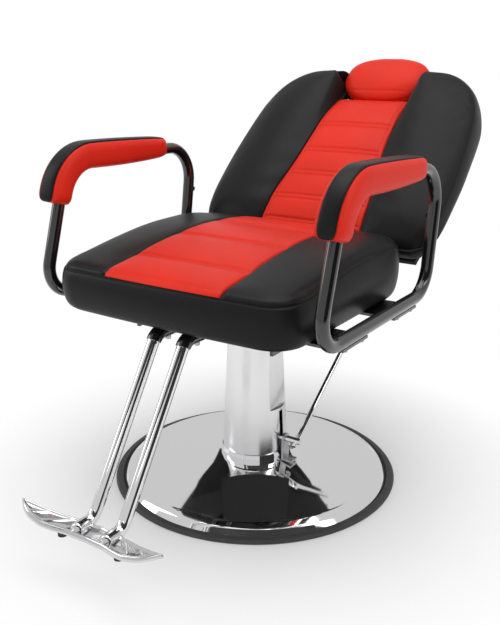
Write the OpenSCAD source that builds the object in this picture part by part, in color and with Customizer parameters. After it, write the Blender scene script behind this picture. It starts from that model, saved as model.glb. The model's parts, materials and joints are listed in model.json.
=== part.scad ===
/* [Base] */
// Radius of the rubber floor ring
base_r = 290; // [270:1:310]
// Height of the chrome base cone where the collar stands on it
base_h = 43; // [38:1:50]
// Thickness of the base sheet
base_t = 3; // [2:0.5:4]

/* [Column and pump] */
// Height of the top of the column cover
cover_top = 322; // [310:1:326]
// Radius of the column cover at its foot
cover_r = 67; // [65:0.5:69]
// Wall of the column cover
cover_t = 1.5; // [1:0.25:2]
// Radius of the lifting ram
ram_r = 22; // [20:0.5:24]
// Outer radius of the pump cylinder
cylinder_r = 34; // [32:0.5:36]

/* [Pump lever] */
// Distance of the lever rod from the column axis
lever_x = 100; // [96:1:104]
// Height of the rocker shaft
lever_z = 90; // [88:1:94]
// Angle of the lever rod above the floor
lever_angle = 36; // [32:0.5:40]
// Diameter of the lever rod
lever_d = 10; // [9:0.5:11]

/* [Seat] */
// Half the width of the seat cushion
seat_half_w = 250; // [235:1:252]
// Front of the seat cushion, measured forwards from the column
seat_front = 290; // [280:1:300]
// Rear of the seat cushion, measured backwards from the column
seat_rear = 172; // [166:1:182]
// Underside of the seat cushion
seat_z = 386; // [384:1:390]
// Height of the seat cushion at the rear of its crown
seat_h = 124; // [115:1:127]

/* [Arms] */
// Distance of each arm loop from the centre plane
arm_x = 292; // [290:1:300]
// Diameter of the arm tube
arm_d = 24; // [22:1:25]
// Wall of the arm tube
arm_t = 2; // [1.5:0.5:3]
// Height of the level top run of the arm tube
arm_top_z = 640; // [625:1:650]
// Width of an arm pad
pad_w = 56; // [50:1:62]

/* [Backrest] */
// Lean of the backrest from upright at rest
back_lean = 45; // [40:1:45]
// Half the width of the backrest at its widest
back_half_w = 276; // [265:1:278]
// Thickness of the padded wings
wing_t = 78; // [70:1:78]
// Width of the headrest pad
headrest_w = 208; // [195:1:210]

/* [Footrest] */
// Distance of each footrest tube from the centre plane
foot_tube_x = 32; // [30:1:36]
// Diameter of a footrest tube
foot_tube_d = 22; // [20:1:22]
// Half the span of the foot plate
foot_half_w = 155; // [145:1:165]

/* [Hidden] */
$fn = 48;
run_gap = 0.05;
// Hair of space between faces that rest on each other at an angle
rest_gap = 0.02;

chrome = "gainsboro";
black_paint = "#202022";
black_vinyl = "#2c2c2e";
red_vinyl = "#dc3226";
lined_board = "#1a1a1c";
steel = "silver";

// Base cone: shoulder between the shallow cone and the steep rim band
rim_r = base_r - 17;
shoulder_r = base_r - 40;
shoulder_z = base_h - 19.5;
collar_r = cover_r + 3;
collar_top = base_h + 19;
block_top = base_h + 23;
block_r = 56;
base_bolt_r = 45;
plunger_x = 46;
plunger_y = 16;
plunger_r = 5;
plunger_top = lever_z - 7.5;
shaft_r = 6.5;

// Column cover taper, and the pressed flat above its ledge
cover_slope = 0.052;
ledge_z = 155;
flat_x = 54;
flat_slope = 0.042;
function cover_radius(z) = cover_r - (z - collar_top) * cover_slope;

// Seat frame levels, from the straps down
strap_t = 5;
strap_top = seat_z;
strap_z = seat_z - strap_t;
frame_t = 8;
frame_z = strap_z - frame_t;
bar_x = 147;
bar_w = 6;
socket_h = 38;
socket_r = 31;
ram_top = frame_z;
ram_foot = base_h + 34;

// Recline hinge, measured along the backrest and behind its front face
back_y = 180;
back_z = seat_z + 74;
hinge_s = 60;
hinge_n = 113;
pin_r = 6;
board_t = 12;
cover_panel_t = 4;
board_n = wing_t + 1 + board_t;
panel_n = board_n + 1 + cover_panel_t;
function back_point(s, n) = [
    back_y + s * sin(back_lean) + n * cos(back_lean),
    back_z + s * cos(back_lean) - n * sin(back_lean)
];
hinge = back_point(hinge_s, hinge_n);

// Gas spring: anchor on the seat frame, and the lug pivot on the backrest
anchor = [60, strap_z - 30];
lug_pivot = [hinge.x + 10, hinge.y - 50];
gas_len = norm(lug_pivot - anchor);
gas_angle = atan2(lug_pivot.y - anchor.y, lug_pivot.x - anchor.x);
gas_x = 40;

// Release lever shaft across the seat frame
release_y = 38;
release_r = 5;

// Straps that join the arm rails under the seat
front_strap_y = -155;
front_strap_w = 90;
rear_strap_y = 48;
rear_strap_w = 97;

// Arm loop corners in the side plane: front foot, front top, rear top, rear foot
rail_z = strap_top + arm_d / 2;
arm_corners = [[-281, rail_z], [-206, arm_top_z], [184, arm_top_z], [148, rail_z]];
arm_radii = [50, 75, 70, 60];
screw_ys = [-110, 20];

// Footrest tube corners in the side plane
foot_top_z = strap_z - 9;
foot_slope = 57;
plate_z = 95;
foot_corners = [
    [-205, foot_top_z], [-268, foot_top_z],
    [-268 - (foot_top_z - plate_z) / tan(foot_slope), plate_z], [-480, plate_z]
];
foot_radii = [0, 25, 30, 0];

// Helpers for bent tube

function dir_angle(a, b) = atan2(b.y - a.y, b.x - a.x);
function turn(a, b, c) =
    let (d = dir_angle(b, c) - dir_angle(a, b))
    d > 180 ? d - 360 : (d < -180 ? d + 360 : d);
function tangent(a, b, c, r) = r * tan(abs(turn(a, b, c)) / 2);
function step(p, q, len) = p + (q - p) * len / norm(q - p);

// Stations round the bend at corner b of the path a, b, c, as x, y and heading
function bend_stations(a, b, c, r) =
    let (
        sweep = turn(a, b, c),
        start = step(b, a, tangent(a, b, c, r)),
        side = sweep > 0 ? 90 : -90,
        heading = dir_angle(a, b),
        centre = start + r * [cos(heading + side), sin(heading + side)],
        steps = ceil(abs(sweep) / 9)
    )
    [for (k = [0 : steps])
        let (h = heading + sweep * k / steps)
        [centre.x + r * cos(h - side), centre.y + r * sin(h - side), h]];

// Stations along a path of corners that is open at its first and last point
function open_stations(pts, radii, lap = 0) =
    let (
        last = len(pts) - 1,
        start = step(pts[0], pts[1], -lap),
        end = step(pts[last], pts[last - 1], -lap)
    )
    concat(
        [[start.x, start.y, dir_angle(pts[0], pts[1])]],
        [for (i = [1 : last - 1]) each bend_stations(pts[i - 1], pts[i], pts[i + 1], radii[i])],
        [[end.x, end.y, dir_angle(pts[last - 1], pts[last])]]
    );

// Stations round a closed loop of corners
function loop_stations(pts, radii) =
    let (n = len(pts))
    [for (i = [0 : n - 1])
        each bend_stations(pts[(i + n - 1) % n], pts[i], pts[(i + 1) % n], radii[i])];

// Round bar swept along stations in the drawing plane
module swept_bar(stations, r, closed = false) {
    sides = 20;
    n = len(stations);
    last = closed ? n - 1 : n - 2;
    ring = [for (s = stations) for (j = [0 : sides - 1])
        let (a = 360 * j / sides)
        [s.x - r * cos(a) * sin(s[2]), s.y + r * cos(a) * cos(s[2]), r * sin(a)]];
    skin = [for (i = [0 : last]) for (j = [0 : sides - 1])
        let (k = (j + 1) % sides, m = (i + 1) % n)
        [m * sides + j, m * sides + k, i * sides + k, i * sides + j]];
    caps = closed ? [] : [
        [for (j = [0 : sides - 1]) j],
        [for (j = [sides - 1 : -1 : 0]) (n - 1) * sides + j]
    ];
    polyhedron(points = ring, faces = concat(skin, caps));
}

// Turns a drawing plane into a side plane: drawn x runs backwards, drawn y upwards
module side_plane(x) {
    translate([x, 0, 0])
        rotate([90, 0, 90])
            children();
}

// Frame of the backrest: x across, y up the face, z out of the face
module back_frame() {
    translate([0, back_y, back_z])
        rotate([90 - back_lean, 0, 0])
            children();
}

// Round bar along x
module x_bar(x0, x1, y, z, r) {
    translate([x0, y, z])
        rotate([0, 90, 0])
            cylinder(h = x1 - x0, r = r);
}

// Base

module base_plate() {
    hub_z = base_h - 6;
    color(chrome)
        difference() {
            rotate_extrude()
                polygon([
                    [0, hub_z], [0, base_h], [collar_r, base_h], [shoulder_r, shoulder_z],
                    [shoulder_r + 12, shoulder_z - 6], [rim_r, 5], [rim_r - 5, 5],
                    [shoulder_r + 9, shoulder_z - 9], [shoulder_r - 2, shoulder_z - base_t],
                    [collar_r, hub_z]
                ]);
            for (i = [0 : 3])
                rotate([0, 0, 45 + 90 * i])
                    translate([base_bolt_r, 0, hub_z - 1])
                        cylinder(h = 8, r = 5.25);
        }
}

module base_rubber_ring() {
    color("#3c3c3e")
        rotate_extrude()
            polygon([
                [rim_r - 9, 0], [base_r - 3, 0], [base_r, 3], [base_r - 3, 8],
                [rim_r + 1, 9.5], [rim_r + 1, 4.5], [rim_r - 9, 4.5]
            ]);
}

module base_collar() {
    color(chrome)
        difference() {
            translate([0, 0, base_h])
                rotate_extrude()
                    polygon([[58, 0], [collar_r, 0], [collar_r, 12], [collar_r - 2.5, 19], [58, 19]]);
            translate([50, -13, base_h - 1])
                cube([30, 26, 21]);
        }
}

// Tapered column body above the collar, shrunk inwards by an amount
module column_body(inset) {
    low = collar_top - (inset > 0 ? 1 : 0);
    top = cover_top + (inset > 0 ? 1 : 0);
    difference() {
        translate([0, 0, low])
            cylinder(h = top - low, r1 = cover_radius(low) - inset, r2 = cover_radius(top) - inset);
        translate([0, 0, ledge_z - inset])
            rotate([0, -atan(flat_slope), 0])
                translate([flat_x - inset, -60, 0])
                    cube([40, 120, 200]);
    }
}

module column_cover() {
    color(chrome)
        difference() {
            column_body(0);
            column_body(cover_t);
            translate([40, -7, collar_top - 1])
                cube([40, 14, 89]);
        }
}

module pump_block() {
    color("dimgray")
        difference() {
            translate([0, 0, base_h])
                cylinder(h = block_top - base_h, r = block_r);
            translate([0, 0, base_h + 12])
                cylinder(h = 30, r = cylinder_r);
            translate([plunger_x, plunger_y, base_h + 3])
                cylinder(h = 40, r = plunger_r + run_gap);
            for (i = [0 : 3])
                rotate([0, 0, 45 + 90 * i])
                    translate([base_bolt_r, 0, base_h - 1])
                        cylinder(h = 17, r = 5);
        }
}

module base_bolts() {
    color(steel)
        for (i = [0 : 3])
            rotate([0, 0, 45 + 90 * i])
                translate([base_bolt_r, 0, 0]) {
                    translate([0, 0, base_h - 13])
                        cylinder(h = 7, r = 8, $fn = 6);
                    translate([0, 0, base_h - 6])
                        cylinder(h = 20, r = 5);
                }
}

module pump_cylinder() {
    color(steel)
        difference() {
            translate([0, 0, base_h + 12])
                cylinder(h = cover_top - 14 - base_h - 12, r = cylinder_r);
            translate([0, 0, base_h + 18])
                cylinder(h = 300, r = cylinder_r - 5);
        }
}

module cylinder_gland() {
    color("dimgray")
        difference() {
            union() {
                translate([0, 0, cover_top - 40])
                    cylinder(h = 26, r = cylinder_r - 5);
                translate([0, 0, cover_top - 14])
                    cylinder(h = 14, r = cylinder_r + 10);
            }
            translate([0, 0, cover_top - 41])
                cylinder(h = 42, r = ram_r + run_gap);
        }
}

// Ear that carries the rocker shaft, with a toe on the base cone
module lever_bracket() {
    ear_x = cover_r + 4;
    color(steel)
        difference() {
            union() {
                translate([ear_x, -11, base_h + 1])
                    cube([5, 22, lever_z - base_h - 1]);
                x_bar(ear_x, ear_x + 5, 0, lever_z, 11);
                translate([56.5, -11, base_h + 1])
                    cube([ear_x + 24 - 56.5, 22, 4]);
            }
            x_bar(ear_x - 1, ear_x + 6, 0, lever_z, shaft_r + run_gap);
            translate([ear_x + 16, 0, base_h - 5])
                cylinder(h = 20, r = 3);
        }
}

module bracket_screws() {
    color(steel)
        translate([cover_r + 20, 0, base_h + 1.5]) {
            cylinder(h = 3.5, r = 3);
            translate([0, 0, 3.5])
                cylinder(h = 4, r = 5.5);
        }
}

// Pump lever

module pump_plunger() {
    foot = base_h + 12;
    color(steel)
        translate([plunger_x, plunger_y, 0]) {
            translate([0, 0, foot])
                cylinder(h = plunger_top - foot, r = plunger_r);
            translate([0, 0, plunger_top - 1.5])
                cylinder(h = 1.5, r = 8);
        }
}

// Coil of round wire between the pump block and the plunger's collar
module plunger_spring() {
    turns = 4;
    steps = 20;
    sides = 6;
    wire_r = 0.7;
    coil_r = 7.2;
    coil_z = block_top + 1;
    coil_h = (plunger_top - 3.5 - coil_z) / turns;
    count = turns * steps;
    ring = [for (i = [0 : count]) for (j = [0 : sides - 1])
        let (a = 360 * i / steps, b = 360 * j / sides, r = coil_r + wire_r * cos(b))
        [r * cos(a), r * sin(a), coil_h * i / steps + wire_r * sin(b)]];
    skin = [for (i = [0 : count - 1]) for (j = [0 : sides - 1])
        let (k = (j + 1) % sides)
        [i * sides + j, i * sides + k, (i + 1) * sides + k, (i + 1) * sides + j]];
    caps = [[for (j = [sides - 1 : -1 : 0]) j], [for (j = [0 : sides - 1]) count * sides + j]];
    color(steel)
        translate([plunger_x, plunger_y, coil_z])
            polyhedron(points = ring, faces = concat(skin, caps));
}

module rocker_shaft() {
    color(chrome)
        difference() {
            x_bar(40, lever_x + 9, 0, lever_z, shaft_r);
            translate([lever_x, 0, lever_z])
                rotate([lever_angle - 90, 0, 0])
                    cylinder(h = 40, r = lever_d / 2, center = true);
            translate([lever_x - 12, 0, lever_z - shaft_r - 1])
                cylinder(h = 4, r = 2.5);
        }
}

// Arm on the rocker shaft whose nose presses the plunger
module rocker_arm() {
    color(steel)
        difference() {
            union() {
                x_bar(plunger_x - 4, plunger_x + 4, 0, lever_z, 10.5);
                x_bar(plunger_x - 4, plunger_x + 4, plunger_y, lever_z, 7);
                translate([plunger_x - 4, 0, lever_z - 7])
                    cube([8, plunger_y, 14]);
            }
            x_bar(plunger_x - 5, plunger_x + 5, 0, lever_z, shaft_r);
        }
}

// Frame of the lever: x along the rod, y towards the centre plane
module lever_frame() {
    translate([lever_x, 0, lever_z])
        rotate([lever_angle, 0, 0])
            rotate([0, 0, 90])
                children();
}

module lever_rod() {
    color(chrome)
        lever_frame()
            swept_bar(open_stations([[-13, 0], [262, 0], [262, 128]], [0, 22, 0]), lever_d / 2);
}

module foot_bar_sleeve() {
    color("#2a2a2a")
        lever_frame()
            difference() {
                translate([262, 28, 0])
                    rotate([-90, 0, 0])
                        cylinder(h = 104, r = 9);
                translate([262, 27, 0])
                    rotate([-90, 0, 0])
                        cylinder(h = 101, r = lever_d / 2);
            }
}

module lever_set_screw() {
    color(steel)
        translate([lever_x - 12, 0, 0]) {
            translate([0, 0, lever_z - shaft_r - 11])
                cylinder(h = 14 - rest_gap, r = 2.5 - rest_gap);
            translate([0, 0, lever_z - shaft_r - 12])
                cylinder(h = 4, r = 5);
        }
}

// Lifting column

module piston() {
    bore = cylinder_r - 5;
    color(steel)
        difference() {
            translate([0, 0, ram_foot - 15])
                cylinder(h = 12, r = bore - run_gap);
            translate([0, 0, ram_foot - 11])
                difference() {
                    cylinder(h = 4, r = bore + 1);
                    translate([0, 0, -1])
                        cylinder(h = 6, r = bore - 3);
                }
        }
}

module piston_seal() {
    bore = cylinder_r - 5;
    color("#1c1c1c")
        translate([0, 0, ram_foot - 10.9])
            difference() {
                cylinder(h = 3.8, r = bore - 0.02);
                translate([0, 0, -1])
                    cylinder(h = 6, r = bore - 2.9);
            }
}

module thrust_washer() {
    color("#b08d57")
        translate([0, 0, ram_foot - 3])
            difference() {
                cylinder(h = 3, r = ram_r);
                translate([0, 0, -1])
                    cylinder(h = 5, r = 8);
            }
}

module ram() {
    color(chrome)
        translate([0, 0, ram_foot])
            difference() {
                cylinder(h = ram_top - ram_foot, r = ram_r);
                translate([0, 0, 8])
                    cylinder(h = ram_top - ram_foot, r = ram_r - 5);
            }
}

// Seat frame

module seat_frame() {
    bar_h = 42;
    color(black_paint)
        difference() {
            union() {
                translate([-bar_x, -100, frame_z])
                    cube([2 * bar_x, 200, frame_t]);
                translate([0, 0, frame_z - socket_h])
                    cylinder(h = socket_h, r = socket_r);
                for (side = [-1, 1])
                    translate([side * (bar_x + bar_w / 2) - bar_w / 2, 0, 0]) {
                        translate([0, -180, strap_z - bar_h])
                            cube([bar_w, 180 + hinge.x + 14, bar_h]);
                        translate([0, hinge.x - 14, strap_z - bar_h])
                            cube([bar_w, 28, hinge.y - strap_z + bar_h]);
                        x_bar(0, bar_w, hinge.x, hinge.y, 14);
                    }
            }
            translate([0, 0, frame_z - socket_h - 1])
                cylinder(h = socket_h + 1, r = ram_r);
            for (side = [-1, 1])
                x_bar(side * bar_x - 20, side * bar_x + 20, hinge.x, hinge.y, pin_r);
            x_bar(-bar_x - 20, -bar_x + 20, release_y, anchor.y, release_r + run_gap);
            for (x = [-70, 70], y = [-60, 60])
                translate([x, y, frame_z - 1])
                    cylinder(h = frame_t + 2, r = 4.25);
        }
}

module frame_bolts() {
    color(steel)
        for (x = [-70, 70], y = [-60, 60])
            translate([x, y, 0]) {
                translate([0, 0, frame_z - 5])
                    cylinder(h = 5, r = 7, $fn = 6);
                translate([0, 0, frame_z])
                    cylinder(h = seat_z + 9 - frame_z, r = 4);
            }
}

// Flat strap from rail to rail under the seat, centred on y
module strap(y, w) {
    color(black_paint)
        difference() {
            translate([-arm_x - 6, y - w / 2, strap_z])
                cube([2 * arm_x + 12, w, strap_t]);
            for (x = [-70, 70])
                translate([x, y < 0 ? -60 : 60, strap_z - 1])
                    cylinder(h = strap_t + 2, r = 4.25);
            for (side = [-1, 1], dy = [-30, 30])
                translate([side * arm_x, y + dy, strap_z - 1])
                    cylinder(h = strap_t + 2, r = 3.25);
        }
}

module front_strap() {
    strap(front_strap_y, front_strap_w);
}

module rear_strap() {
    strap(rear_strap_y, rear_strap_w);
}

// Screws that clamp each rail to the straps
module strap_screws() {
    color(steel)
        for (side = [-1, 1], y = [front_strap_y, rear_strap_y], dy = [-30, 30])
            translate([side * arm_x, y + dy, 0]) {
                translate([0, 0, strap_z - 3])
                    cylinder(h = 3, r = 5.5);
                translate([0, 0, strap_z])
                    cylinder(h = strap_t + arm_t, r = 3);
            }
}

module seat_board() {
    color(lined_board)
        difference() {
            translate([-205, -262, seat_z])
                cube([410, 415, board_t]);
            for (x = [-70, 70], y = [-60, 60])
                translate([x, y, seat_z - 1])
                    cylinder(h = 10.1, r = 4);
        }
}

module seat_cushion() {
    corner_r = 46;
    color(black_vinyl)
        difference() {
            hull()
                for (x = [-1, 1], y = [-seat_front + corner_r, seat_rear - corner_r])
                    translate([x * (seat_half_w - corner_r), y, seat_z]) {
                        cylinder(h = 1, r = corner_r - 14, $fn = 32);
                        translate([0, 0, 22])
                            cylinder(h = seat_h - (y < 0 ? 66 : 52), r = corner_r, $fn = 32);
                        translate([0, 0, seat_h - (y < 0 ? 13 : 1)])
                            cylinder(h = 1, r = corner_r - 30, $fn = 32);
                    }
            translate([-205, -262, seat_z - 1])
                cube([410, 415, board_t + 1]);
        }
}

// Arms

module arm_frame(side) {
    color(black_paint)
        difference() {
            side_plane(side * arm_x)
                swept_bar(loop_stations(arm_corners, arm_radii), arm_d / 2, true);
            side_plane(side * arm_x)
                swept_bar(loop_stations(arm_corners, arm_radii), arm_d / 2 - arm_t, true);
            for (y = [front_strap_y, rear_strap_y], dy = [-30, 30])
                translate([side * arm_x, y + dy, rail_z - arm_d / 2 - 1])
                    cylinder(h = arm_t + 2, r = 3);
        }
}

module arm_frame_left() {
    arm_frame(-1);
}

module arm_frame_right() {
    arm_frame(1);
}

// Side outline of an arm pad: over the front bend and back along the top run
function pad_outline() =
    let (
        bend = tangent(arm_corners[0], arm_corners[1], arm_corners[2], arm_radii[1]),
        c = [arm_corners[1].x + bend, arm_top_z - arm_radii[1]],
        outer = [for (a = [163 : -7.3 : 90]) c + 113 * [cos(a), sin(a)]],
        inner = [for (a = [90 : 7.3 : 163]) c + 60 * [cos(a), sin(a)]]
    )
    concat(
        [c + [-114, 14]], outer, [[66, arm_top_z + 27], [74, arm_top_z + 20], [73, arm_top_z - 14]],
        inner, [c + [-63, -2]]
    );

// Side view of the channel that lets a pad sit down over the tube
module pad_channel() {
    clear = arm_d / 2 + 0.3;
    foot = arm_corners[0];
    top = arm_corners[1];
    bend = tangent(foot, top, arm_corners[2], arm_radii[1]);
    translate([top.x + bend, arm_top_z - arm_radii[1]]) {
        circle(arm_radii[1] + clear);
        square([240, arm_radii[1] + clear]);
    }
    translate(foot)
        rotate(dir_angle(foot, top))
            translate([0, -clear])
                square([norm(top - foot) - bend, 2 * clear]);
}

module arm_pad(side) {
    color(red_vinyl)
        difference() {
            side_plane(side * arm_x)
                translate([0, 0, -pad_w / 2])
                    linear_extrude(pad_w)
                        polygon(pad_outline());
            side_plane(side * arm_x)
                translate([0, 0, -arm_d / 2 - 0.5])
                    linear_extrude(arm_d + 1)
                        pad_channel();
            for (y = screw_ys)
                translate([side * arm_x, y, arm_top_z])
                    cylinder(h = arm_d / 2 + 12, r = 2.6);
        }
}

module arm_pad_left() {
    arm_pad(-1);
}

module arm_pad_right() {
    arm_pad(1);
}

// Screws up through the arm tube into each pad
module arm_pad_screws() {
    color(steel)
        for (side = [-1, 1], y = screw_ys)
            translate([side * arm_x, y, arm_top_z + arm_d / 2 + 0.3])
                cylinder(h = 11, r = 2.5);
}

// Plug on the inner side of each rear post
module post_plugs() {
    plug_z = 545;
    top = arm_corners[2];
    foot = arm_corners[3];
    plug_y = foot.x + (top.x - foot.x) * (plug_z - foot.y) / (top.y - foot.y);
    inner = arm_x - arm_d / 2;
    color("#101012")
        for (side = [-1, 1])
            mirror([side < 0 ? 1 : 0, 0, 0])
                x_bar(inner - 3, inner - 0.1, plug_y, plug_z, 5);
}

// Footrest

module footrest_bracket() {
    gusset_z = strap_z - 6;
    socket_corners = [foot_corners[0], foot_corners[1], step(foot_corners[1], foot_corners[2], 14)];
    color(black_paint)
        difference() {
            union() {
                translate([-70, -215, gusset_z])
                    cube([140, 100, 5.8]);
                for (side = [-1, 1])
                    side_plane(side * foot_tube_x)
                        swept_bar(open_stations(socket_corners, foot_radii), foot_tube_d / 2 + 2.4);
            }
            for (side = [-1, 1])
                side_plane(side * foot_tube_x)
                    swept_bar(open_stations(socket_corners, foot_radii, 1), foot_tube_d / 2 + 0.1);
            for (x = [-55, 55])
                translate([x, -150, gusset_z - 1])
                    cylinder(h = 9, r = 3.2);
        }
}

module footrest_tubes() {
    color(chrome)
        for (side = [-1, 1])
            side_plane(side * foot_tube_x)
                difference() {
                    swept_bar(open_stations(foot_corners, foot_radii), foot_tube_d / 2);
                    swept_bar(open_stations(foot_corners, foot_radii, 1), foot_tube_d / 2 - 2);
                }
}

// Screws under the bracket that hold the tubes in their sockets
module footrest_set_screws() {
    color(steel)
        for (side = [-1, 1])
            translate([side * foot_tube_x, -235, foot_top_z - foot_tube_d / 2 - 8])
                cylinder(h = 5.5, r = 5, $fn = 6);
}

// Cast plate, raised at both tips, with a socket for each tube
module foot_plate() {
    plate_t = 9;
    stations = [-1 : 0.125 : 1];
    back_stations = [1 : -0.125 : -1];
    plan = concat(
        [for (u = stations) [u * foot_half_w, -455 - 31 * pow(abs(u), 1.3)]],
        [for (u = back_stations) [u * foot_half_w, -500 - 16 * pow(sin(145 * abs(u)), 2)]]);
    front_view = concat(
        [for (u = stations) [u * (foot_half_w + 1), 24 * u * u]],
        [for (u = back_stations) [u * (foot_half_w + 1), 24 * u * u - plate_t]]);
    color(chrome)
        difference() {
            union() {
                intersection() {
                    translate([0, 0, plate_z - 30])
                        linear_extrude(80)
                            polygon(plan);
                    translate([0, -440, plate_z - 3])
                        rotate([90, 0, 0])
                            linear_extrude(90)
                                polygon(front_view);
                }
                for (side = [-1, 1])
                    translate([side * foot_tube_x, -462, plate_z])
                        rotate([90, 0, 0])
                            cylinder(h = 38, r = 14);
            }
            for (side = [-1, 1])
                translate([side * foot_tube_x, -440, plate_z])
                    rotate([90, 0, 0])
                        cylinder(h = 40 + rest_gap, r = foot_tube_d / 2 + 0.2);
            for (side = [-1, 1])
                translate([side * foot_tube_x, -472, plate_z - 20])
                    cylinder(h = 20, r = 3);
        }
}

module foot_plate_screws() {
    color(steel)
        for (side = [-1, 1])
            translate([side * foot_tube_x, -472, plate_z - 17.5]) {
                cylinder(h = 3.5, r = 5.5);
                cylinder(h = 6.3, r = 3);
            }
}

module foot_plate_bumpers() {
    color("#1c1c1c")
        for (side = [-1, 1])
            translate([side * 62, -490, plate_z - 19])
                cylinder(h = 9, r = 8);
}

// Recline hinge and gas spring

module recline_pins() {
    color(steel)
        for (side = [-1, 1])
            mirror([side < 0 ? 1 : 0, 0, 0]) {
                x_bar(bar_x - 11, bar_x + bar_w, hinge.x, hinge.y, pin_r);
                x_bar(bar_x + bar_w, bar_x + bar_w + 4, hinge.x, hinge.y, pin_r + 3);
            }
}

module pin_clips() {
    color(steel)
        for (side = [-1, 1])
            mirror([side < 0 ? 1 : 0, 0, 0])
                difference() {
                    x_bar(bar_x - 9.5, bar_x - 8, hinge.x, hinge.y, pin_r + 3);
                    x_bar(bar_x - 12, bar_x - 6, hinge.x, hinge.y, pin_r);
                }
}

module hinge_ears() {
    color(black_paint)
        for (side = [-1, 1])
            mirror([side < 0 ? 1 : 0, 0, 0])
                back_frame()
                    difference() {
                        union() {
                            translate([bar_x - 33, hinge_s - 28, -panel_n - 5])
                                cube([32, 70, 5 - rest_gap]);
                            translate([bar_x - 7, hinge_s - 14, -hinge_n])
                                cube([6, 28, hinge_n - panel_n]);
                            translate([bar_x - 7, hinge_s, -hinge_n])
                                rotate([0, 90, 0])
                                    cylinder(h = 6, r = 14);
                        }
                        translate([bar_x - 8, hinge_s, -hinge_n])
                            rotate([0, 90, 0])
                                cylinder(h = 8, r = pin_r + run_gap);
                        for (s = [hinge_s - 18, hinge_s + 32])
                            translate([bar_x - 22, s, -panel_n - 6])
                                cylinder(h = 7, r = 3.2);
                    }
}

module hinge_bolts() {
    color(steel)
        for (side = [-1, 1], s = [hinge_s - 18, hinge_s + 32])
            back_frame()
                translate([side * (bar_x - 22), s, -panel_n - 9]) {
                    cylinder(h = 4, r = 5.5);
                    cylinder(h = 9 + panel_n - board_n + 6, r = 3);
                }
}

module gas_anchor() {
    color(black_paint)
        for (x = [gas_x - 12, gas_x + 8])
            difference() {
                union() {
                    translate([x, anchor.x - 9, anchor.y])
                        cube([4, 18, frame_z - anchor.y]);
                    x_bar(x, x + 4, anchor.x, anchor.y, 9);
                }
                x_bar(x - 1, x + 5, anchor.x, anchor.y, 4);
            }
    color(steel)
        x_bar(gas_x - 12, gas_x + 12, anchor.x, anchor.y, 4);
}

// Frame of the gas spring: x along it, from the anchor to the lug
module gas_frame() {
    side_plane(gas_x)
        translate([anchor.x, anchor.y, 0])
            rotate([0, 0, gas_angle])
                children();
}

module gas_cylinder() {
    color("#1e1e20")
        gas_frame()
            difference() {
                union() {
                    translate([0, 0, -7])
                        cylinder(h = 14, r = 9);
                    rotate([0, 90, 0])
                        translate([0, 0, 12])
                            cylinder(h = 168, r = 11);
                    translate([5, -6, -6])
                        cube([10, 12, 12]);
                }
                translate([0, 0, -8])
                    cylinder(h = 16, r = 4 + run_gap);
                rotate([0, 90, 0])
                    translate([0, 0, 22])
                        cylinder(h = 150, r = 8);
                rotate([0, 90, 0])
                    translate([0, 0, 170])
                        cylinder(h = 12, r = 4 + run_gap);
            }
}

module gas_rod() {
    color(chrome)
        gas_frame()
            difference() {
                union() {
                    rotate([0, 90, 0])
                        translate([0, 0, 100])
                            cylinder(h = 8, r = 8 - run_gap);
                    rotate([0, 90, 0])
                        translate([0, 0, 105])
                            cylinder(h = gas_len - 105 - 8, r = 4);
                    translate([gas_len, 0, -6])
                        cylinder(h = 12, r = 11.5);
                }
                translate([gas_len, 0, -7])
                    cylinder(h = 14, r = 6.5);
            }
}

// Plates on the backrest that hold the gas spring's pin
module gas_lug() {
    reach = [lug_pivot.x - back_y, lug_pivot.y - back_z];
    lug_s = reach.x * sin(back_lean) + reach.y * cos(back_lean);
    lug_n = reach.x * cos(back_lean) - reach.y * sin(back_lean);
    color(black_paint)
        back_frame() {
            for (x = [gas_x - 12, gas_x + 8]) {
                translate([x, lug_s - 2, -lug_n])
                    cube([4, 40, lug_n - panel_n - rest_gap]);
                translate([x, lug_s, -lug_n])
                    rotate([0, 90, 0])
                        cylinder(h = 4, r = 9);
            }
            translate([gas_x - 12, lug_s, -lug_n])
                rotate([0, 90, 0])
                    cylinder(h = 24, r = 4);
            translate([gas_x - 20, lug_s + 4, -panel_n - 4 - rest_gap])
                cube([40, 60, 4]);
        }
}

module release_shaft() {
    color(chrome) {
        x_bar(-262, gas_x + 4, release_y, anchor.y, release_r);
        translate([gas_x - 4, release_y, anchor.y - 3])
            cube([8, anchor.x - release_y - 11, 6]);
    }
}

module release_grip() {
    color("#1c1c1c")
        difference() {
            x_bar(-282, -205, release_y, anchor.y, 9);
            x_bar(-262, -200, release_y, anchor.y, release_r);
        }
}

// Backrest

// Plan outline of a wing, as circles at its corners: x, height up the face, radius
function wing_corners() = [
    [150, 45, 26], [back_half_w - 40, 48, 36], [back_half_w - 42, 140, 42],
    [back_half_w - 50, 280, 42], [207, 415, 38], [150, 445, 43], [134, 400, 43]
];

// Fullness of the lower back, out of the face, at a height up the backrest
function lumbar(s) = s < 60 ? 3 : max(0, 14 - max(0, s - 140) / 20);

module wing() {
    lip = 10;
    color(black_vinyl)
        back_frame()
            hull()
                for (c = wing_corners()) {
                    translate([c.x, c.y, -wing_t])
                        cylinder(h = wing_t - 14, r = c.z, $fn = 32);
                    translate([c.x, c.y, lumbar(c.y) - 1])
                        cylinder(h = 1, r = c.z - lip, $fn = 32);
                }
}

module backrest_wing_left() {
    mirror([1, 0, 0])
        wing();
}

module backrest_wing_right() {
    wing();
}

// Outline of one side of the centre pad
function centre_side(side) =
    let (half = [[119, 22], [116, 80], [109, 150], [102, 230], [93, 330], [87, 428]])
    side > 0 ? half : [for (i = [len(half) - 1 : -1 : 0]) [-half[i].x, half[i].y]];

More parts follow.
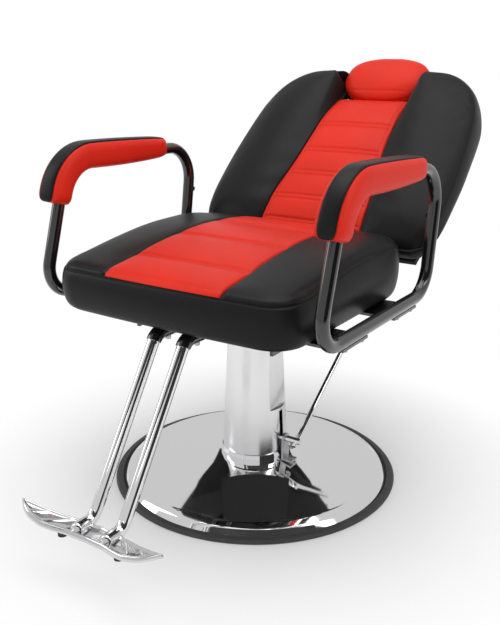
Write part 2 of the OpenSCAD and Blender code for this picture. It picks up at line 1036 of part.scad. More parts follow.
// Centre pad between the wings, narrow at mid height and lower than they are at its top
module backrest_centre() {
    color(red_vinyl)
        back_frame()
            intersection() {
                rotate([0, -90, 0])
                    translate([-wing_t, 0, -130])
                        linear_extrude(260)
                            polygon([
                                [0, 22], [0, 428], [wing_t - 36, 428], [wing_t + 1, 300],
                                [wing_t + 9, 140], [wing_t + 5, 60], [wing_t - 16, 22]
                            ]);
                translate([0, 0, -wing_t])
                    linear_extrude(wing_t + 20)
                        polygon(concat(centre_side(1), centre_side(-1)));
            }
}

// Outline shared by the backrest board and its rear cover
module board_outline(inset) {
    polygon([
        [-225 + inset, 30 + inset], [225 - inset, 30 + inset], [240 - inset, 150],
        [225 - inset, 330], [175 - inset, 430 - inset], [-175 + inset, 430 - inset],
        [-225 + inset, 330], [-240 + inset, 150]
    ]);
}

module backrest_board() {
    color(lined_board)
        back_frame()
            difference() {
                translate([0, 0, -board_n])
                    linear_extrude(board_t)
                        board_outline(0);
                for (side = [-1, 1], s = [hinge_s - 18, hinge_s + 32])
                    translate([side * (bar_x - 22), s, -board_n - 1])
                        cylinder(h = 7.1, r = 3);
            }
}

module backrest_rear_cover() {
    color(black_vinyl)
        back_frame()
            difference() {
                translate([0, 0, -panel_n])
                    linear_extrude(cover_panel_t)
                        board_outline(-6);
                for (side = [-1, 1], s = [hinge_s - 18, hinge_s + 32])
                    translate([side * (bar_x - 22), s, -panel_n - 1])
                        cylinder(h = 6, r = 3.2);
            }
}

// Headrest

bar_n = panel_n + 8;
guide_s = 385;

module headrest_guide() {
    color(black_paint)
        back_frame()
            difference() {
                translate([-26, guide_s, -bar_n - 10])
                    cube([52, 36, bar_n + 10 - panel_n]);
                translate([-15.1, guide_s - 1, -bar_n - 5.1])
                    cube([30.2, 38, 5.2]);
                translate([0, guide_s + 18, -bar_n - 12])
                    cylinder(h = 8, r = 3 + run_gap);
            }
}

module headrest_bar() {
    color(chrome)
        back_frame() {
            translate([-15, 300, -bar_n - 5])
                cube([30, 235, 5]);
            translate([-45, 470, -bar_n])
                cube([90, 60, 4]);
        }
}

module headrest_pad() {
    front_n = 30;
    color(red_vinyl)
        back_frame()
            hull()
                for (side = [-1, 1], c = [[46, 452, 16], [headrest_w / 2 - 18, 505, 18], [68, 540, 24]]) {
                    translate([side * c.x, c.y, -bar_n + 4.2])
                        cylinder(h = bar_n - front_n - 18, r = c.z, $fn = 32);
                    translate([side * c.x, c.y, -front_n - 1])
                        cylinder(h = 1, r = c.z - 8, $fn = 32);
                }
}

module headrest_knob() {
    color("#18181a")
        back_frame()
            translate([0, guide_s + 18, -bar_n - 11]) {
                difference() {
                    translate([0, 0, -14])
                        cylinder(h = 12, r = 15);
                    for (i = [0 : 5])
                        rotate([0, 0, 60 * i])
                            translate([18, 0, -15])
                                cylinder(h = 14, r = 5);
                }
                translate([0, 0, -2])
                    cylinder(h = 7.5, r = 3);
            }
}

base_plate();
base_rubber_ring();
base_collar();
column_cover();
pump_block();
base_bolts();
pump_cylinder();
cylinder_gland();
lever_bracket();
bracket_screws();
pump_plunger();
plunger_spring();
rocker_shaft();
rocker_arm();
lever_rod();
foot_bar_sleeve();
lever_set_screw();
piston();
piston_seal();
thrust_washer();
ram();
seat_frame();
frame_bolts();
front_strap();
rear_strap();
seat_board();
seat_cushion();
arm_frame_left();
arm_frame_right();
arm_pad_left();
arm_pad_right();
arm_pad_screws();
strap_screws();
post_plugs();
footrest_bracket();
footrest_tubes();
footrest_set_screws();
foot_plate();
foot_plate_screws();
foot_plate_bumpers();
recline_pins();
pin_clips();
gas_anchor();
gas_cylinder();
gas_rod();
release_shaft();
release_grip();
backrest_board();
backrest_wing_left();
backrest_wing_right();
backrest_centre();
backrest_rear_cover();
hinge_ears();
hinge_bolts();
gas_lug();
headrest_guide();
headrest_bar();
headrest_pad();
headrest_knob();
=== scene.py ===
"""Looks of the hydraulic barber chair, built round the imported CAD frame. Metres, +Z up, chair faces -Y."""
import json
import math

import bpy
import numpy as np
from mathutils import Matrix, Vector


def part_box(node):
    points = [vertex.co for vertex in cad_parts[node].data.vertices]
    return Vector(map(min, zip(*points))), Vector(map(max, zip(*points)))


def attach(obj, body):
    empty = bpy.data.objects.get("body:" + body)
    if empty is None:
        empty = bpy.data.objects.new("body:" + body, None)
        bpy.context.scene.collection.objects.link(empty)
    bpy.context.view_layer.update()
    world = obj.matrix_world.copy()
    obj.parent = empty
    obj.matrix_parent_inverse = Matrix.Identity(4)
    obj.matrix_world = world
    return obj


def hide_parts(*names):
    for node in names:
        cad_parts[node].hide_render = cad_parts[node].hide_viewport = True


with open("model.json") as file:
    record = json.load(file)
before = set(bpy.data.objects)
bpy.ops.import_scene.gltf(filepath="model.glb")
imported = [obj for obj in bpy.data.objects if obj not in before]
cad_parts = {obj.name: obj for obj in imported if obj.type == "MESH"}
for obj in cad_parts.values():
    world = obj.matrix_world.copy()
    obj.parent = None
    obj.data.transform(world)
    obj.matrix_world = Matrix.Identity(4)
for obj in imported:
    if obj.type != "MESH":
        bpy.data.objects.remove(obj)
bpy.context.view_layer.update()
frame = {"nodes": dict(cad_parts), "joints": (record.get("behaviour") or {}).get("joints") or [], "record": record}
MM = 0.001
JOINTS = {j["name"]: j for j in frame["joints"]}

# ---------------------------------------------------------------- frame measures
SEAT_LO, SEAT_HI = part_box("seat_cushion")
ARM_LO, ARM_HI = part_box("arm_frame_right")
RING_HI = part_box("base_rubber_ring")[1]
BASE_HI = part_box("base_plate")[1]
COVER_LO, COVER_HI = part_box("column_cover")
PLATE_LO, PLATE_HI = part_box("foot_plate")
COLLAR_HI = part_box("base_collar")[1]

# Backrest frame: across is +X, up runs up the padded face, out points out of it
UP = Vector(JOINTS["headrest_height"]["axis"]).normalized()
OUT = Vector((1, 0, 0)).cross(UP)
HINGE_UP = 60 * MM
HINGE_BEHIND = 113 * MM
BACK_ORIGIN = Vector(JOINTS["recline"]["pos_m"]) - HINGE_UP * UP + HINGE_BEHIND * OUT
BACK_FRAME = Matrix((
    (1, UP.x, OUT.x, BACK_ORIGIN.x),
    (0, UP.y, OUT.y, BACK_ORIGIN.y),
    (0, UP.z, OUT.z, BACK_ORIGIN.z),
    (0, 0, 0, 1),
))


# ---------------------------------------------------------------- materials
class Shader:
    """A Principled material with short calls for adding and joining nodes."""

    def __init__(self, name, color, metallic=0.0, roughness=0.5):
        self.mat = bpy.data.materials.new(name)
        self.mat.use_nodes = True
        self.tree = self.mat.node_tree
        self.bsdf = self.tree.nodes["Principled BSDF"]
        self.bsdf.inputs["Base Color"].default_value = (*color, 1)
        self.bsdf.inputs["Metallic"].default_value = metallic
        self.bsdf.inputs["Roughness"].default_value = roughness
        self.mat.diffuse_color = (*color, 1)
        self.coords = self.tree.nodes.new("ShaderNodeTexCoord").outputs["Object"]

    def node(self, kind, **values):
        made = self.tree.nodes.new("ShaderNode" + kind)
        for key, value in values.items():
            if key in made.inputs:
                made.inputs[key].default_value = value
            else:
                setattr(made, key, value)
        return made

    def link(self, a, b):
        self.tree.links.new(a, b)

    def noise(self, scale, detail=3.0, stretch=None):
        made = self.node("TexNoise", Scale=scale, Detail=detail)
        source = self.coords
        if stretch:
            mapping = self.node("Mapping", Scale=stretch)
            self.link(source, mapping.inputs["Vector"])
            source = mapping.outputs["Vector"]
        self.link(source, made.inputs["Vector"])
        return made.outputs["Fac"]

    def voronoi(self, scale):
        made = self.node("TexVoronoi", Scale=scale)
        made.feature = "DISTANCE_TO_EDGE"
        self.link(self.coords, made.inputs["Vector"])
        return made.outputs["Distance"]

    def ramp(self, source, low, high):
        """Maps 0..1 to low..high."""
        made = self.node("MapRange")
        made.inputs["To Min"].default_value = low
        made.inputs["To Max"].default_value = high
        self.link(source, made.inputs["Value"])
        return made.outputs["Result"]

    def tint(self, source, dark, light):
        """Colour between dark and light as the source goes from 0 to 1."""
        made = self.node("ValToRGB")
        made.color_ramp.elements[0].color = (*dark, 1)
        made.color_ramp.elements[1].color = (*light, 1)
        made.color_ramp.elements[0].position = 0.3
        made.color_ramp.elements[1].position = 0.7
        self.link(source, made.inputs["Fac"])
        self.link(made.outputs["Color"], self.bsdf.inputs["Base Color"])

    def roughness(self, source, low, high):
        self.link(self.ramp(source, low, high), self.bsdf.inputs["Roughness"])

    def bump(self, source, distance, strength=1.0, after=None):
        made = self.node("Bump", Strength=strength, Distance=distance)
        self.link(source, made.inputs["Height"])
        if after is not None:
            self.link(after, made.inputs["Normal"])
        self.link(made.outputs["Normal"], self.bsdf.inputs["Normal"])
        return made.outputs["Normal"]

    def set(self, **values):
        for key, value in values.items():
            self.bsdf.inputs[key.replace("_", " ")].default_value = value


def shade(color, factor):
    return tuple(c * factor for c in color)


def vinyl(name, color, gloss, shine):
    """Upholstery vinyl: fine grain, faint mottling and a soft specular level set by shine."""
    s = Shader(name, color)
    mottle = s.noise(9, 4)
    s.tint(mottle, shade(color, 0.93), shade(color, 1.06))
    s.roughness(s.noise(60, 4), gloss - 0.04, gloss + 0.06)
    grain = s.bump(s.voronoi(750), 0.00022, 0.45)
    s.bump(s.noise(140, 5), 0.00025, 0.35, after=grain)
    s.set(Specular_IOR_Level=shine)
    return s.mat


def chrome(name, base=0.92, rough=0.035):
    s = Shader(name, (base, base, base * 1.01), metallic=1.0)
    s.roughness(s.noise(35, 5), rough, rough + 0.035)
    s.bump(s.noise(18, 2), 0.0002, 0.12)
    return s.mat


def gloss_paint(name):
    s = Shader(name, (0.006, 0.006, 0.0065))
    s.roughness(s.noise(40, 3), 0.12, 0.18)
    s.bump(s.noise(260, 2), 0.00006, 0.3)
    s.set(Coat_Weight=1.0, Coat_Roughness=0.04, Specular_IOR_Level=0.6)
    return s.mat


def rubber(name, value, grain=700):
    color = (value, value, value * 1.02)
    s = Shader(name, color)
    s.tint(s.noise(45, 5), shade(color, 0.85), shade(color, 1.15))
    s.roughness(s.noise(120, 3), 0.5, 0.68)
    s.bump(s.noise(grain, 4), 0.0002, 0.5)
    return s.mat


def plated_steel(name, value=0.55, rough=0.28):
    s = Shader(name, (value, value, value * 1.02), metallic=1.0)
    s.tint(s.noise(120, 4), (value * 0.85,) * 3, (value * 1.1,) * 3)
    s.roughness(s.noise(300, 4, stretch=(1, 1, 8)), rough - 0.06, rough + 0.1)
    s.bump(s.noise(500, 3), 0.00008, 0.4)
    return s.mat


def cast_iron(name):
    s = Shader(name, (0.09, 0.09, 0.095), metallic=0.8)
    s.roughness(s.noise(90, 4), 0.5, 0.7)
    s.bump(s.noise(350, 6), 0.0004, 0.7)
    return s.mat


def dust_cloth(name):
    """Woven black lining stapled over the plywood."""
    s = Shader(name, (0.012, 0.012, 0.013))
    s.tint(s.noise(30, 4), (0.009,) * 3, (0.016,) * 3)
    s.roughness(s.noise(90, 3), 0.75, 0.9)
    s.bump(s.voronoi(900), 0.0002, 0.5)
    return s.mat


def brass(name):
    s = Shader(name, (0.6, 0.42, 0.2), metallic=1.0)
    s.roughness(s.noise(200, 3), 0.3, 0.45)
    return s.mat


RED = (0.74, 0.026, 0.011)
BLACK = (0.010, 0.010, 0.0105)
MATERIALS = {
    "red_vinyl": vinyl("red_vinyl", RED, 0.38, 0.16),
    "black_vinyl": vinyl("black_vinyl", BLACK, 0.34, 0.16),
    "chrome": chrome("chrome"),
    "satin_chrome": chrome("satin_chrome", 0.9, 0.2),
    "cast_chrome": chrome("cast_chrome", 0.74, 0.13),
    "black_paint": gloss_paint("black_paint"),
    "floor_rubber": rubber("floor_rubber", 0.045),
    "rubber": rubber("rubber", 0.02),
    "steel": plated_steel("steel"),
    "cast_iron": cast_iron("cast_iron"),
    "lined_board": dust_cloth("lined_board"),
    "bronze": brass("bronze"),
    "black_plastic": rubber("black_plastic", 0.018, 1200),
}


# ---------------------------------------------------------------- mesh helpers
def signed_volume(mesh):
    """Volume inside a closed mesh, negative when its faces point inwards."""
    mesh.calc_loop_triangles()
    tris = np.zeros(len(mesh.loop_triangles) * 3, np.int32)
    mesh.loop_triangles.foreach_get("vertices", tris)
    co = coords(mesh)
    co = co - co.mean(0)
    a, b, c = (co[tris.reshape(-1, 3)[:, k]] for k in range(3))
    return float(np.einsum("ij,ij->i", a, np.cross(b, c)).sum() / 6)


def new_object(name, verts, faces, smooth=True):
    mesh = bpy.data.meshes.new(name)
    mesh.from_pydata([tuple(v) for v in verts], [], [tuple(f) for f in faces])
    mesh.validate()
    if signed_volume(mesh) < -1e-12:
        mesh.flip_normals()
    if smooth:
        mesh.shade_smooth()
    obj = bpy.data.objects.new(name, mesh)
    bpy.context.scene.collection.objects.link(obj)
    return obj


def finish_piece(obj, body, slot, replaces=(), look=None):
    """Material (from look, else from slot), body, and hiding of the CAD nodes that the piece stands for."""
    obj.data.materials.clear()
    obj.data.materials.append(MATERIALS[look or slot])
    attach(obj, body)
    if replaces:
        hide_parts(*replaces)
    return obj


def apply_modifiers(obj):
    bpy.context.view_layer.update()
    graph = bpy.context.evaluated_depsgraph_get()
    mesh = bpy.data.meshes.new_from_object(obj.evaluated_get(graph))
    obj.modifiers.clear()
    old = obj.data
    obj.data = mesh
    bpy.data.meshes.remove(old)
    obj.data.shade_smooth()


def coords(mesh):
    flat = np.zeros(len(mesh.vertices) * 3)
    mesh.vertices.foreach_get("co", flat)
    return flat.reshape(-1, 3)


def normals(mesh):
    flat = np.zeros(len(mesh.vertices) * 3, np.float32)
    mesh.vertices.foreach_get("normal", flat)
    return flat.reshape(-1, 3).astype(float)


def set_coords(mesh, co):
    mesh.vertices.foreach_set("co", np.asarray(co, np.float32).ravel())
    mesh.update()


def revolve(name, profile, steps=192, closed=True):
    """Solid of revolution about Z from a profile of (radius, height) in metres."""
    n = len(profile)
    verts = []
    for i in range(steps):
        a = 2 * math.pi * i / steps
        verts += [(r * math.cos(a), r * math.sin(a), z) for r, z in profile]
    faces = []
    for i in range(steps):
        k = (i + 1) % steps
        for j in range(n if closed else n - 1):
            m = (j + 1) % n
            faces.append((i * n + j, k * n + j, k * n + m, i * n + m))
    return new_object(name, verts, faces)


def fillet(points, radii, steps=6):
    """Closed profile with each corner rounded by its own radius."""
    out = []
    n = len(points)
    for i in range(n):
        p = Vector(points[i])
        a = Vector(points[i - 1])
        b = Vector(points[(i + 1) % n])
        r = radii[i]
        if r <= 0:
            out.append(tuple(p))
            continue
        u = (a - p).normalized()
        v = (b - p).normalized()
        half = u.angle(v) / 2
        reach = min(r / math.tan(half), 0.49 * (a - p).length, 0.49 * (b - p).length)
        start = p + u * reach
        end = p + v * reach
        for k in range(steps + 1):
            t = k / steps
            q = start * (1 - t) ** 2 + p * 2 * t * (1 - t) + end * t ** 2
            out.append(tuple(q))
    return out


def rounded_path(points, radii, closed=False, steps=10):
    """Centre line through 3D corners with round bends."""
    out = []
    n = len(points)
    for i in range(n):
        p = Vector(points[i])
        if not closed and i in (0, n - 1):
            out.append(p)
            continue
        a = Vector(points[i - 1])
        b = Vector(points[(i + 1) % n])
        u = (a - p).normalized()
        v = (b - p).normalized()
        angle = u.angle(v)
        r = radii[i]
        reach = r / math.tan(angle / 2)
        centre = p + (u + v).normalized() * (r / math.sin(angle / 2))
        start = p + u * reach - centre
        end = p + v * reach - centre
        sweep = start.angle(end)
        for k in range(steps + 1):
            t = k / steps
            arc = (start * math.sin((1 - t) * sweep) + end * math.sin(t * sweep)) / math.sin(sweep)
            out.append(centre + arc)
    return out


def tube(name, path, radius, closed=False, sides=24, side=Vector((1, 0, 0)), ends=None):
    """Round bar along a path; ends gives radii for extra rounding at both ends."""
    n = len(path)
    verts, faces = [], []
    rings = []
    for i, p in enumerate(path):
        before = path[i - 1] if (closed or i > 0) else p
        after = path[(i + 1) % n] if (closed or i < n - 1) else p
        along = (after - before).normalized()
        u = (side - along * side.dot(along)).normalized()
        v = along.cross(u)
        rings.append((p, u, v, along, radius))
    if ends and not closed:
        p, u, v, along, r = rings[0]
        rings.insert(0, (p - along * ends, u, v, along, r - ends))
        p, u, v, along, r = rings[-1]
        rings.append((p + along * ends, u, v, along, r - ends))
    for p, u, v, along, r in rings:
        for j in range(sides):
            a = 2 * math.pi * j / sides
            verts.append(p + u * (r * math.cos(a)) + v * (r * math.sin(a)))
    m = len(rings)
    for i in range(m if closed else m - 1):
        k = (i + 1) % m
        for j in range(sides):
            q = (j + 1) % sides
            faces.append((i * sides + j, i * sides + q, k * sides + q, k * sides + j))
    if not closed:
        faces.append(tuple(range(sides - 1, -1, -1)))
        faces.append(tuple((m - 1) * sides + j for j in range(sides)))
    return new_object(name, verts, faces)


# ---------------------------------------------------------------- padded pieces
def outline(index):
    """Points round the edge of a grid, in order."""
    return np.concatenate([index[0, :-1], index[:-1, -1], index[-1, :0:-1], index[:0:-1, 0]])


class Pad:
    """Closed padded form: a grid for its face, a band round its side and the same grid for its back.

    plan_x and plan_y are arrays of the face's plan, height its crown, band the rows (scale, height)
    from the face's edge to its back. All in the pad's own frame, which place() maps to the chair.
    """

    def __init__(self, plan_x, plan_y, height, band):
        self.rows, self.cols = plan_x.shape
        centre = np.array([(plan_x.min() + plan_x.max()) / 2, (plan_y.min() + plan_y.max()) / 2])
        half = np.array([np.ptp(plan_x) / 2, np.ptp(plan_y) / 2])
        front = np.stack([plan_x, plan_y, height], -1)
        index = np.arange(front.shape[0] * front.shape[1]).reshape(front.shape[:2])
        loop = outline(index)
        verts = [front.reshape(-1, 3)]
        flat = front.reshape(-1, 3)
        faces = self.grid_faces(index)
        last = loop
        count = index.size
        for offset, z in band:
            scale = 1 + (offset if np.isscalar(offset) else offset[loop][:, None]) / half
            ring = flat[loop].copy()
            ring[:, :2] = centre + (ring[:, :2] - centre) * scale
            ring[:, 2] = z if np.isscalar(z) else z[loop]
            verts.append(ring)
            now = count + np.arange(len(loop))
            faces += self.band_faces(last, now)
            count += len(loop)
            last = now
        offset, z = band[-1]
        inner = flat[index[1:-1, 1:-1].ravel()].copy()
        inner[:, :2] = centre + (inner[:, :2] - centre) * (1 + offset / half)
        inner[:, 2] = z if np.isscalar(z) else z[index[1:-1, 1:-1].ravel()]
        verts.append(inner)
        back = np.full(index.shape, -1)
        back[1:-1, 1:-1] = count + np.arange(inner.shape[0]).reshape(index.shape[0] - 2, -1)
        edge = np.empty(index.size, int)
        edge[loop] = last
        edge = edge.reshape(index.shape)
        back[0], back[-1] = edge[0], edge[-1]
        back[:, 0], back[:, -1] = edge[:, 0], edge[:, -1]
        faces += [f[::-1] for f in self.grid_faces(back)]
        self.verts = np.concatenate(verts)
        self.faces = faces
        self.front = index
        self.back_start = index.size + len(loop) * (len(band) - 1)
        self.rest_plan = np.zeros((len(self.verts), 3))
        self.rest_plan[:, :2] = self.verts[:, :2]
        self.rest_plan[:index.size, 2] = 1

    @staticmethod
    def grid_faces(index):
        a, b = index[:-1, :-1], index[:-1, 1:]
        c, d = index[1:, 1:], index[1:, :-1]
        return [tuple(q) for q in np.stack([a, b, c, d], -1).reshape(-1, 4).tolist()]

    @staticmethod
    def band_faces(upper, lower):
        n = len(upper)
        return [(int(upper[k]), int(lower[k]), int(lower[(k + 1) % n]), int(upper[(k + 1) % n]))
                for k in range(n)]

    def build(self, name):
        obj = new_object(name, self.verts, self.faces)
        plan = obj.data.attributes.new("plan", "FLOAT_VECTOR", "POINT")
        plan.data.foreach_set("vector", self.rest_plan.astype(np.float32).ravel())
        self.obj = obj
        return obj


def rim_points(index):
    """Points on the four sides of a pad's face, where its seam holds it."""
    return np.concatenate([index[0], index[-1], index[:, 0], index[:, -1]]).tolist()


def inflate(obj, pinned, pressure, cap, frames=20):
    """Cloth simulation under air pressure, with the move of each point capped, then applied."""
    scene = bpy.context.scene
    start = coords(obj.data)
    group = obj.vertex_groups.new(name="pin")
    group.add([int(i) for i in pinned], 1.0, "REPLACE")
    modifier = obj.modifiers.new("cloth", "CLOTH")
    settings = modifier.settings
    settings.quality = 5
    settings.mass = 0.3
    settings.tension_stiffness = 12
    settings.compression_stiffness = 12
    settings.shear_stiffness = 4
    settings.bending_stiffness = 0.4
    settings.use_pressure = True
    settings.uniform_pressure_force = pressure
    settings.vertex_group_mass = "pin"
    settings.effector_weights.gravity = 0
    modifier.collision_settings.use_collision = False
    for f in range(1, frames + 1):
        scene.frame_set(f)
    graph = bpy.context.evaluated_depsgraph_get()
    moved = coords(obj.evaluated_get(graph).to_mesh()) - start
    obj.evaluated_get(graph).to_mesh_clear()
    obj.modifiers.remove(modifier)
    obj.vertex_groups.remove(group)
    scene.frame_set(1)
    size = np.linalg.norm(moved, axis=1, keepdims=True)
    soft = cap * np.tanh(size / cap) / np.maximum(size, 1e-9)
    set_coords(obj.data, start + moved * soft)


FINE = 2  # subdivision levels of the padded pieces


def subdivide(obj, levels):
    modifier = obj.modifiers.new("subdivision", "SUBSURF")
    modifier.levels = levels
    modifier.render_levels = levels
    apply_modifiers(obj)


def plan_of(mesh):
    flat = np.zeros(len(mesh.vertices) * 3, np.float32)
    mesh.attributes["plan"].data.foreach_get("vector", flat)
    return flat.reshape(-1, 3).astype(float)


def carve(obj, depth_at):
    """Moves each point in by depth_at(plan, coords), along its own normal."""
    co = coords(obj.data)
    depth = depth_at(plan_of(obj.data), co)
    set_coords(obj.data, co - normals(obj.data) * depth[:, None])


def bell(distance, width):
    return np.exp(-(distance / width) ** 2)


def smooth(low, high, value):
    t = np.clip((value - low) / (high - low), 0, 1)
    return t * t * (3 - 2 * t)


def place(obj, matrix):
    obj.data.transform(matrix)


def between(a, b, count):
    """count steps from a, leaving b out."""
    return list(np.linspace(a, b, count, endpoint=False))


def curve(points):
    """Smooth function through (position, value) points, without overshoot between them."""
    x = np.array([p[0] for p in points], float)
    y = np.array([p[1] for p in points], float)
    h = np.diff(x)
    slope = np.diff(y) / h
    m = np.zeros_like(y)
    m[0], m[-1] = slope[0], slope[-1]
    for i in range(1, len(x) - 1):
        if slope[i - 1] * slope[i] > 0:
            m[i] = 2 * slope[i - 1] * slope[i] / (slope[i - 1] + slope[i])

    def value(t):
        t = np.clip(np.asarray(t, float), x[0], x[-1])
        i = np.clip(np.searchsorted(x, t, side="right") - 1, 0, len(h) - 1)
        u = (t - x[i]) / h[i]
        return (y[i] * (1 + 2 * u) * (1 - u) ** 2 + h[i] * m[i] * u * (1 - u) ** 2
                + y[i + 1] * u ** 2 * (3 - 2 * u) + h[i] * m[i + 1] * u ** 2 * (u - 1))

    return value


def edge_distance(plan_x, plan_y):
    """Distance of each plan point from the plan's outline."""
    loop = outline(np.arange(plan_x.size).reshape(plan_x.shape))
    p = np.stack([plan_x.ravel(), plan_y.ravel()], -1)
    a = p[loop]
    b = np.roll(a, -1, axis=0)
    best = np.full(len(p), 1e9)
    for q, r in zip(a, b):
        d = r - q
        t = np.clip(((p - q) @ d) / max(d @ d, 1e-12), 0, 1)
        best = np.minimum(best, np.linalg.norm(p - q - t[:, None] * d, axis=1))
    return best.reshape(plan_x.shape)


def shoulder(distance, radius):
    """Quarter round from 0 at the edge to 1 at the given distance."""
    t = np.clip(distance / radius, 0, 1)
    return np.sqrt(np.maximum(0, 1 - (1 - t) ** 2))


def cover_panel(base, name, inside, lift=0.0008, depth=0.005, thickness=0.004):
    """Closed skin over the faces of a pad that are inside a zone, with the pad sunk under it."""
    mesh = base.data
    plan = plan_of(mesh)
    co = coords(mesh)
    nrm = normals(mesh)
    inner = inside(plan, co)
    chosen = []
    for poly in mesh.polygons:
        vs = list(poly.vertices)
        if inside(plan[vs].mean(0)[None], co[vs].mean(0)[None])[0] > 0:
            chosen.append(vs)
    used = sorted({v for f in chosen for v in f})
    remap = {v: i for i, v in enumerate(used)}
    count = len(used)
    top = co[used] + nrm[used] * lift
    low = co[used] - nrm[used] * thickness
    faces = [tuple(remap[v] for v in f) for f in chosen]
    edges = {}
    for f in faces:
        for a, b in zip(f, f[1:] + f[:1]):
            edges[(a, b)] = True
    rim = [(a, b) for a, b in edges if (b, a) not in edges]
    faces_low = [tuple(v + count for v in f[::-1]) for f in faces]
    walls = [(b, a, a + count, b + count) for a, b in rim]
    rim_verts = sorted({v for e in rim for v in e})
    top[rim_verts] -= nrm[used][rim_verts] * (lift + 0.0012)
    panel = new_object(name, np.concatenate([top, low]), faces + faces_low + walls)
    sunk = np.clip(inner / 0.003, 0, 1) * depth
    set_coords(mesh, co - nrm * sunk[:, None])
    return panel


# ---------------------------------------------------------------- seat
SEAT_SEAM_Z = SEAT_HI.z - 44 * MM
SEAT_CROSS_SEAMS = (-200 * MM, -78 * MM, 50 * MM)
SEAT_CORNER = 52 * MM
SEAT_REAR_CORNER = 72 * MM
SEAT_OFFSET = -4 * MM


def seat_seam(y):
    """Height of the stitched edge of the seat's top, which rises towards the rear."""
    return SEAT_SEAM_Z + 28 * MM * smooth(-0.32, 0.0, y)


def seat_panel_half(y):
    """Half the width of the red seat panel."""
    return 0.118 + 0.007 * (SEAT_HI.y - y) / (SEAT_HI.y - SEAT_LO.y)


def double_seam(along, seams, gap, depth, width):
    """Two stitched grooves with a raised cord between them, at each seam."""
    out = np.zeros_like(along)
    for s in seams:
        out += depth * (bell(along - s - gap, width) + bell(along - s + gap, width))
        out += 0.6 * depth * bell(along - s, 4 * gap)
    return out


def make_seat():
    half = SEAT_HI.x + 1 * MM
    front = SEAT_LO.y + 5 * MM
    rear = SEAT_HI.y - 10 * MM
    r, r2 = SEAT_CORNER, SEAT_REAR_CORNER
    turn = [math.radians(a) for a in (0, 14, 28, 42, 56, 72, 90)]
    rows = [front + r * (1 - math.cos(a)) for a in turn]
    widths = [half - r + r * math.sin(a) for a in turn]
    for a, b, n in ((rows[-1], -0.078, 14), (-0.078, 0.05, 13), (0.05, rear - r2, 5)):
        rows += between(a, b, n)[1:] + [b]
        widths += [half] * n
    rows += [rear - r2 + r2 * math.sin(a) for a in turn[1:]]
    widths += [half - r2 + r2 * math.cos(a) for a in turn[1:]]
    grid_x, grid_y = [], []
    for y, w in zip(rows, widths):
        inner = seat_panel_half(y)
        side = between(inner, w, 10)[1:] + [w]
        cols = [-v for v in side[::-1]] + between(-inner, inner, 22) + [inner] + side
        bow = 7 * MM * (1 - (np.array(cols) / half) ** 2) * (1 - smooth(front, front + 0.1, y))
        grid_x.append(cols)
        grid_y.append(y - bow)
    grid_x, grid_y = np.array(grid_x), np.array(grid_y)
    d = edge_distance(grid_x, grid_y)
    ends = 0.8 + 0.2 * smooth(front, front + 0.14, grid_y)
    ends *= 0.6 + 0.4 * smooth(rear, rear - 0.1, grid_y)
    height = seat_seam(grid_y) + (14 * MM * shoulder(d, 26 * MM) + 5 * MM * smooth(0, 0.2, d)) * ends
    seam = seat_seam(grid_y).ravel()
    low = SEAT_LO.z + 0 * seam
    drop = seam - low
    band = [(-0.8 * MM, seam - 1.6 * MM), (1.2 * MM, seam - 2.8 * MM), (3.4 * MM, seam - 6 * MM),
            (5.4 * MM, seam - 13 * MM), (7 * MM, seam - 0.30 * drop), (7.5 * MM, seam - 0.47 * drop),
            (6.5 * MM, seam - 0.63 * drop), (4.5 * MM, seam - 0.77 * drop), (1 * MM, seam - 0.89 * drop),
            (-6 * MM, seam - 0.965 * drop), (-15 * MM, low - 0.5 * MM), (-30 * MM, low + 0.5 * MM)]
    pad = Pad(grid_x, grid_y, height, band)
    seat = pad.build("seat_cushion_black")
    index = pad.front
    panel_cols = [10, index.shape[1] - 11]
    seam_rows = [i for i, y in enumerate(rows) for s in SEAT_CROSS_SEAMS if abs(y - s) < 4.9 * MM]
    loop = rim_points(index)
    pinned = loop + index[:, panel_cols].ravel().tolist()
    pinned += index[seam_rows, 10:-10].ravel().tolist()
    pinned += list(range(pad.back_start - 2 * len(loop), len(pad.verts)))
    inflate(seat, pinned, 3.0, 7 * MM)
    subdivide(seat, FINE)

    def grooves(plan, co):
        x, y, face = np.abs(plan[:, 0]), plan[:, 1], plan[:, 2]
        w = seat_panel_half(y)
        on_face = smooth(0.5, 0.95, face)
        red = smooth(w, w - 5 * MM, x)
        cut = 3.2 * MM * bell(x - w, 3.2 * MM) * on_face
        cut += double_seam(y, SEAT_CROSS_SEAMS, 5 * MM, 2.6 * MM, 2.4 * MM) * red * on_face
        cut += 0.9 * MM * bell(x - w + 8 * MM, 1.8 * MM) * on_face
        cut += 0.8 * MM * bell(co[:, 2] - seat_seam(y) - 8 * MM, 1.6 * MM) * smooth(0.9, 1, face)
        cut += 1.5 * MM * bell(co[:, 2] - seat_seam(y) + 2 * MM, 2.2 * MM) * smooth(0.5, 0.1, face)
        return cut

    carve(seat, grooves)

    def red_zone(plan, co):
        return np.where(plan[:, 2] > 0.6, seat_panel_half(plan[:, 1]) - np.abs(plan[:, 0]), -1)

    panel = cover_panel(seat, "seat_panel_red", red_zone)
    for piece in (seat, panel):
        place(piece, Matrix.Translation((SEAT_OFFSET, 0, 0)))
    finish_piece(seat, "seat", "black_vinyl", ["seat_cushion"])
    finish_piece(panel, "seat", "red_vinyl")


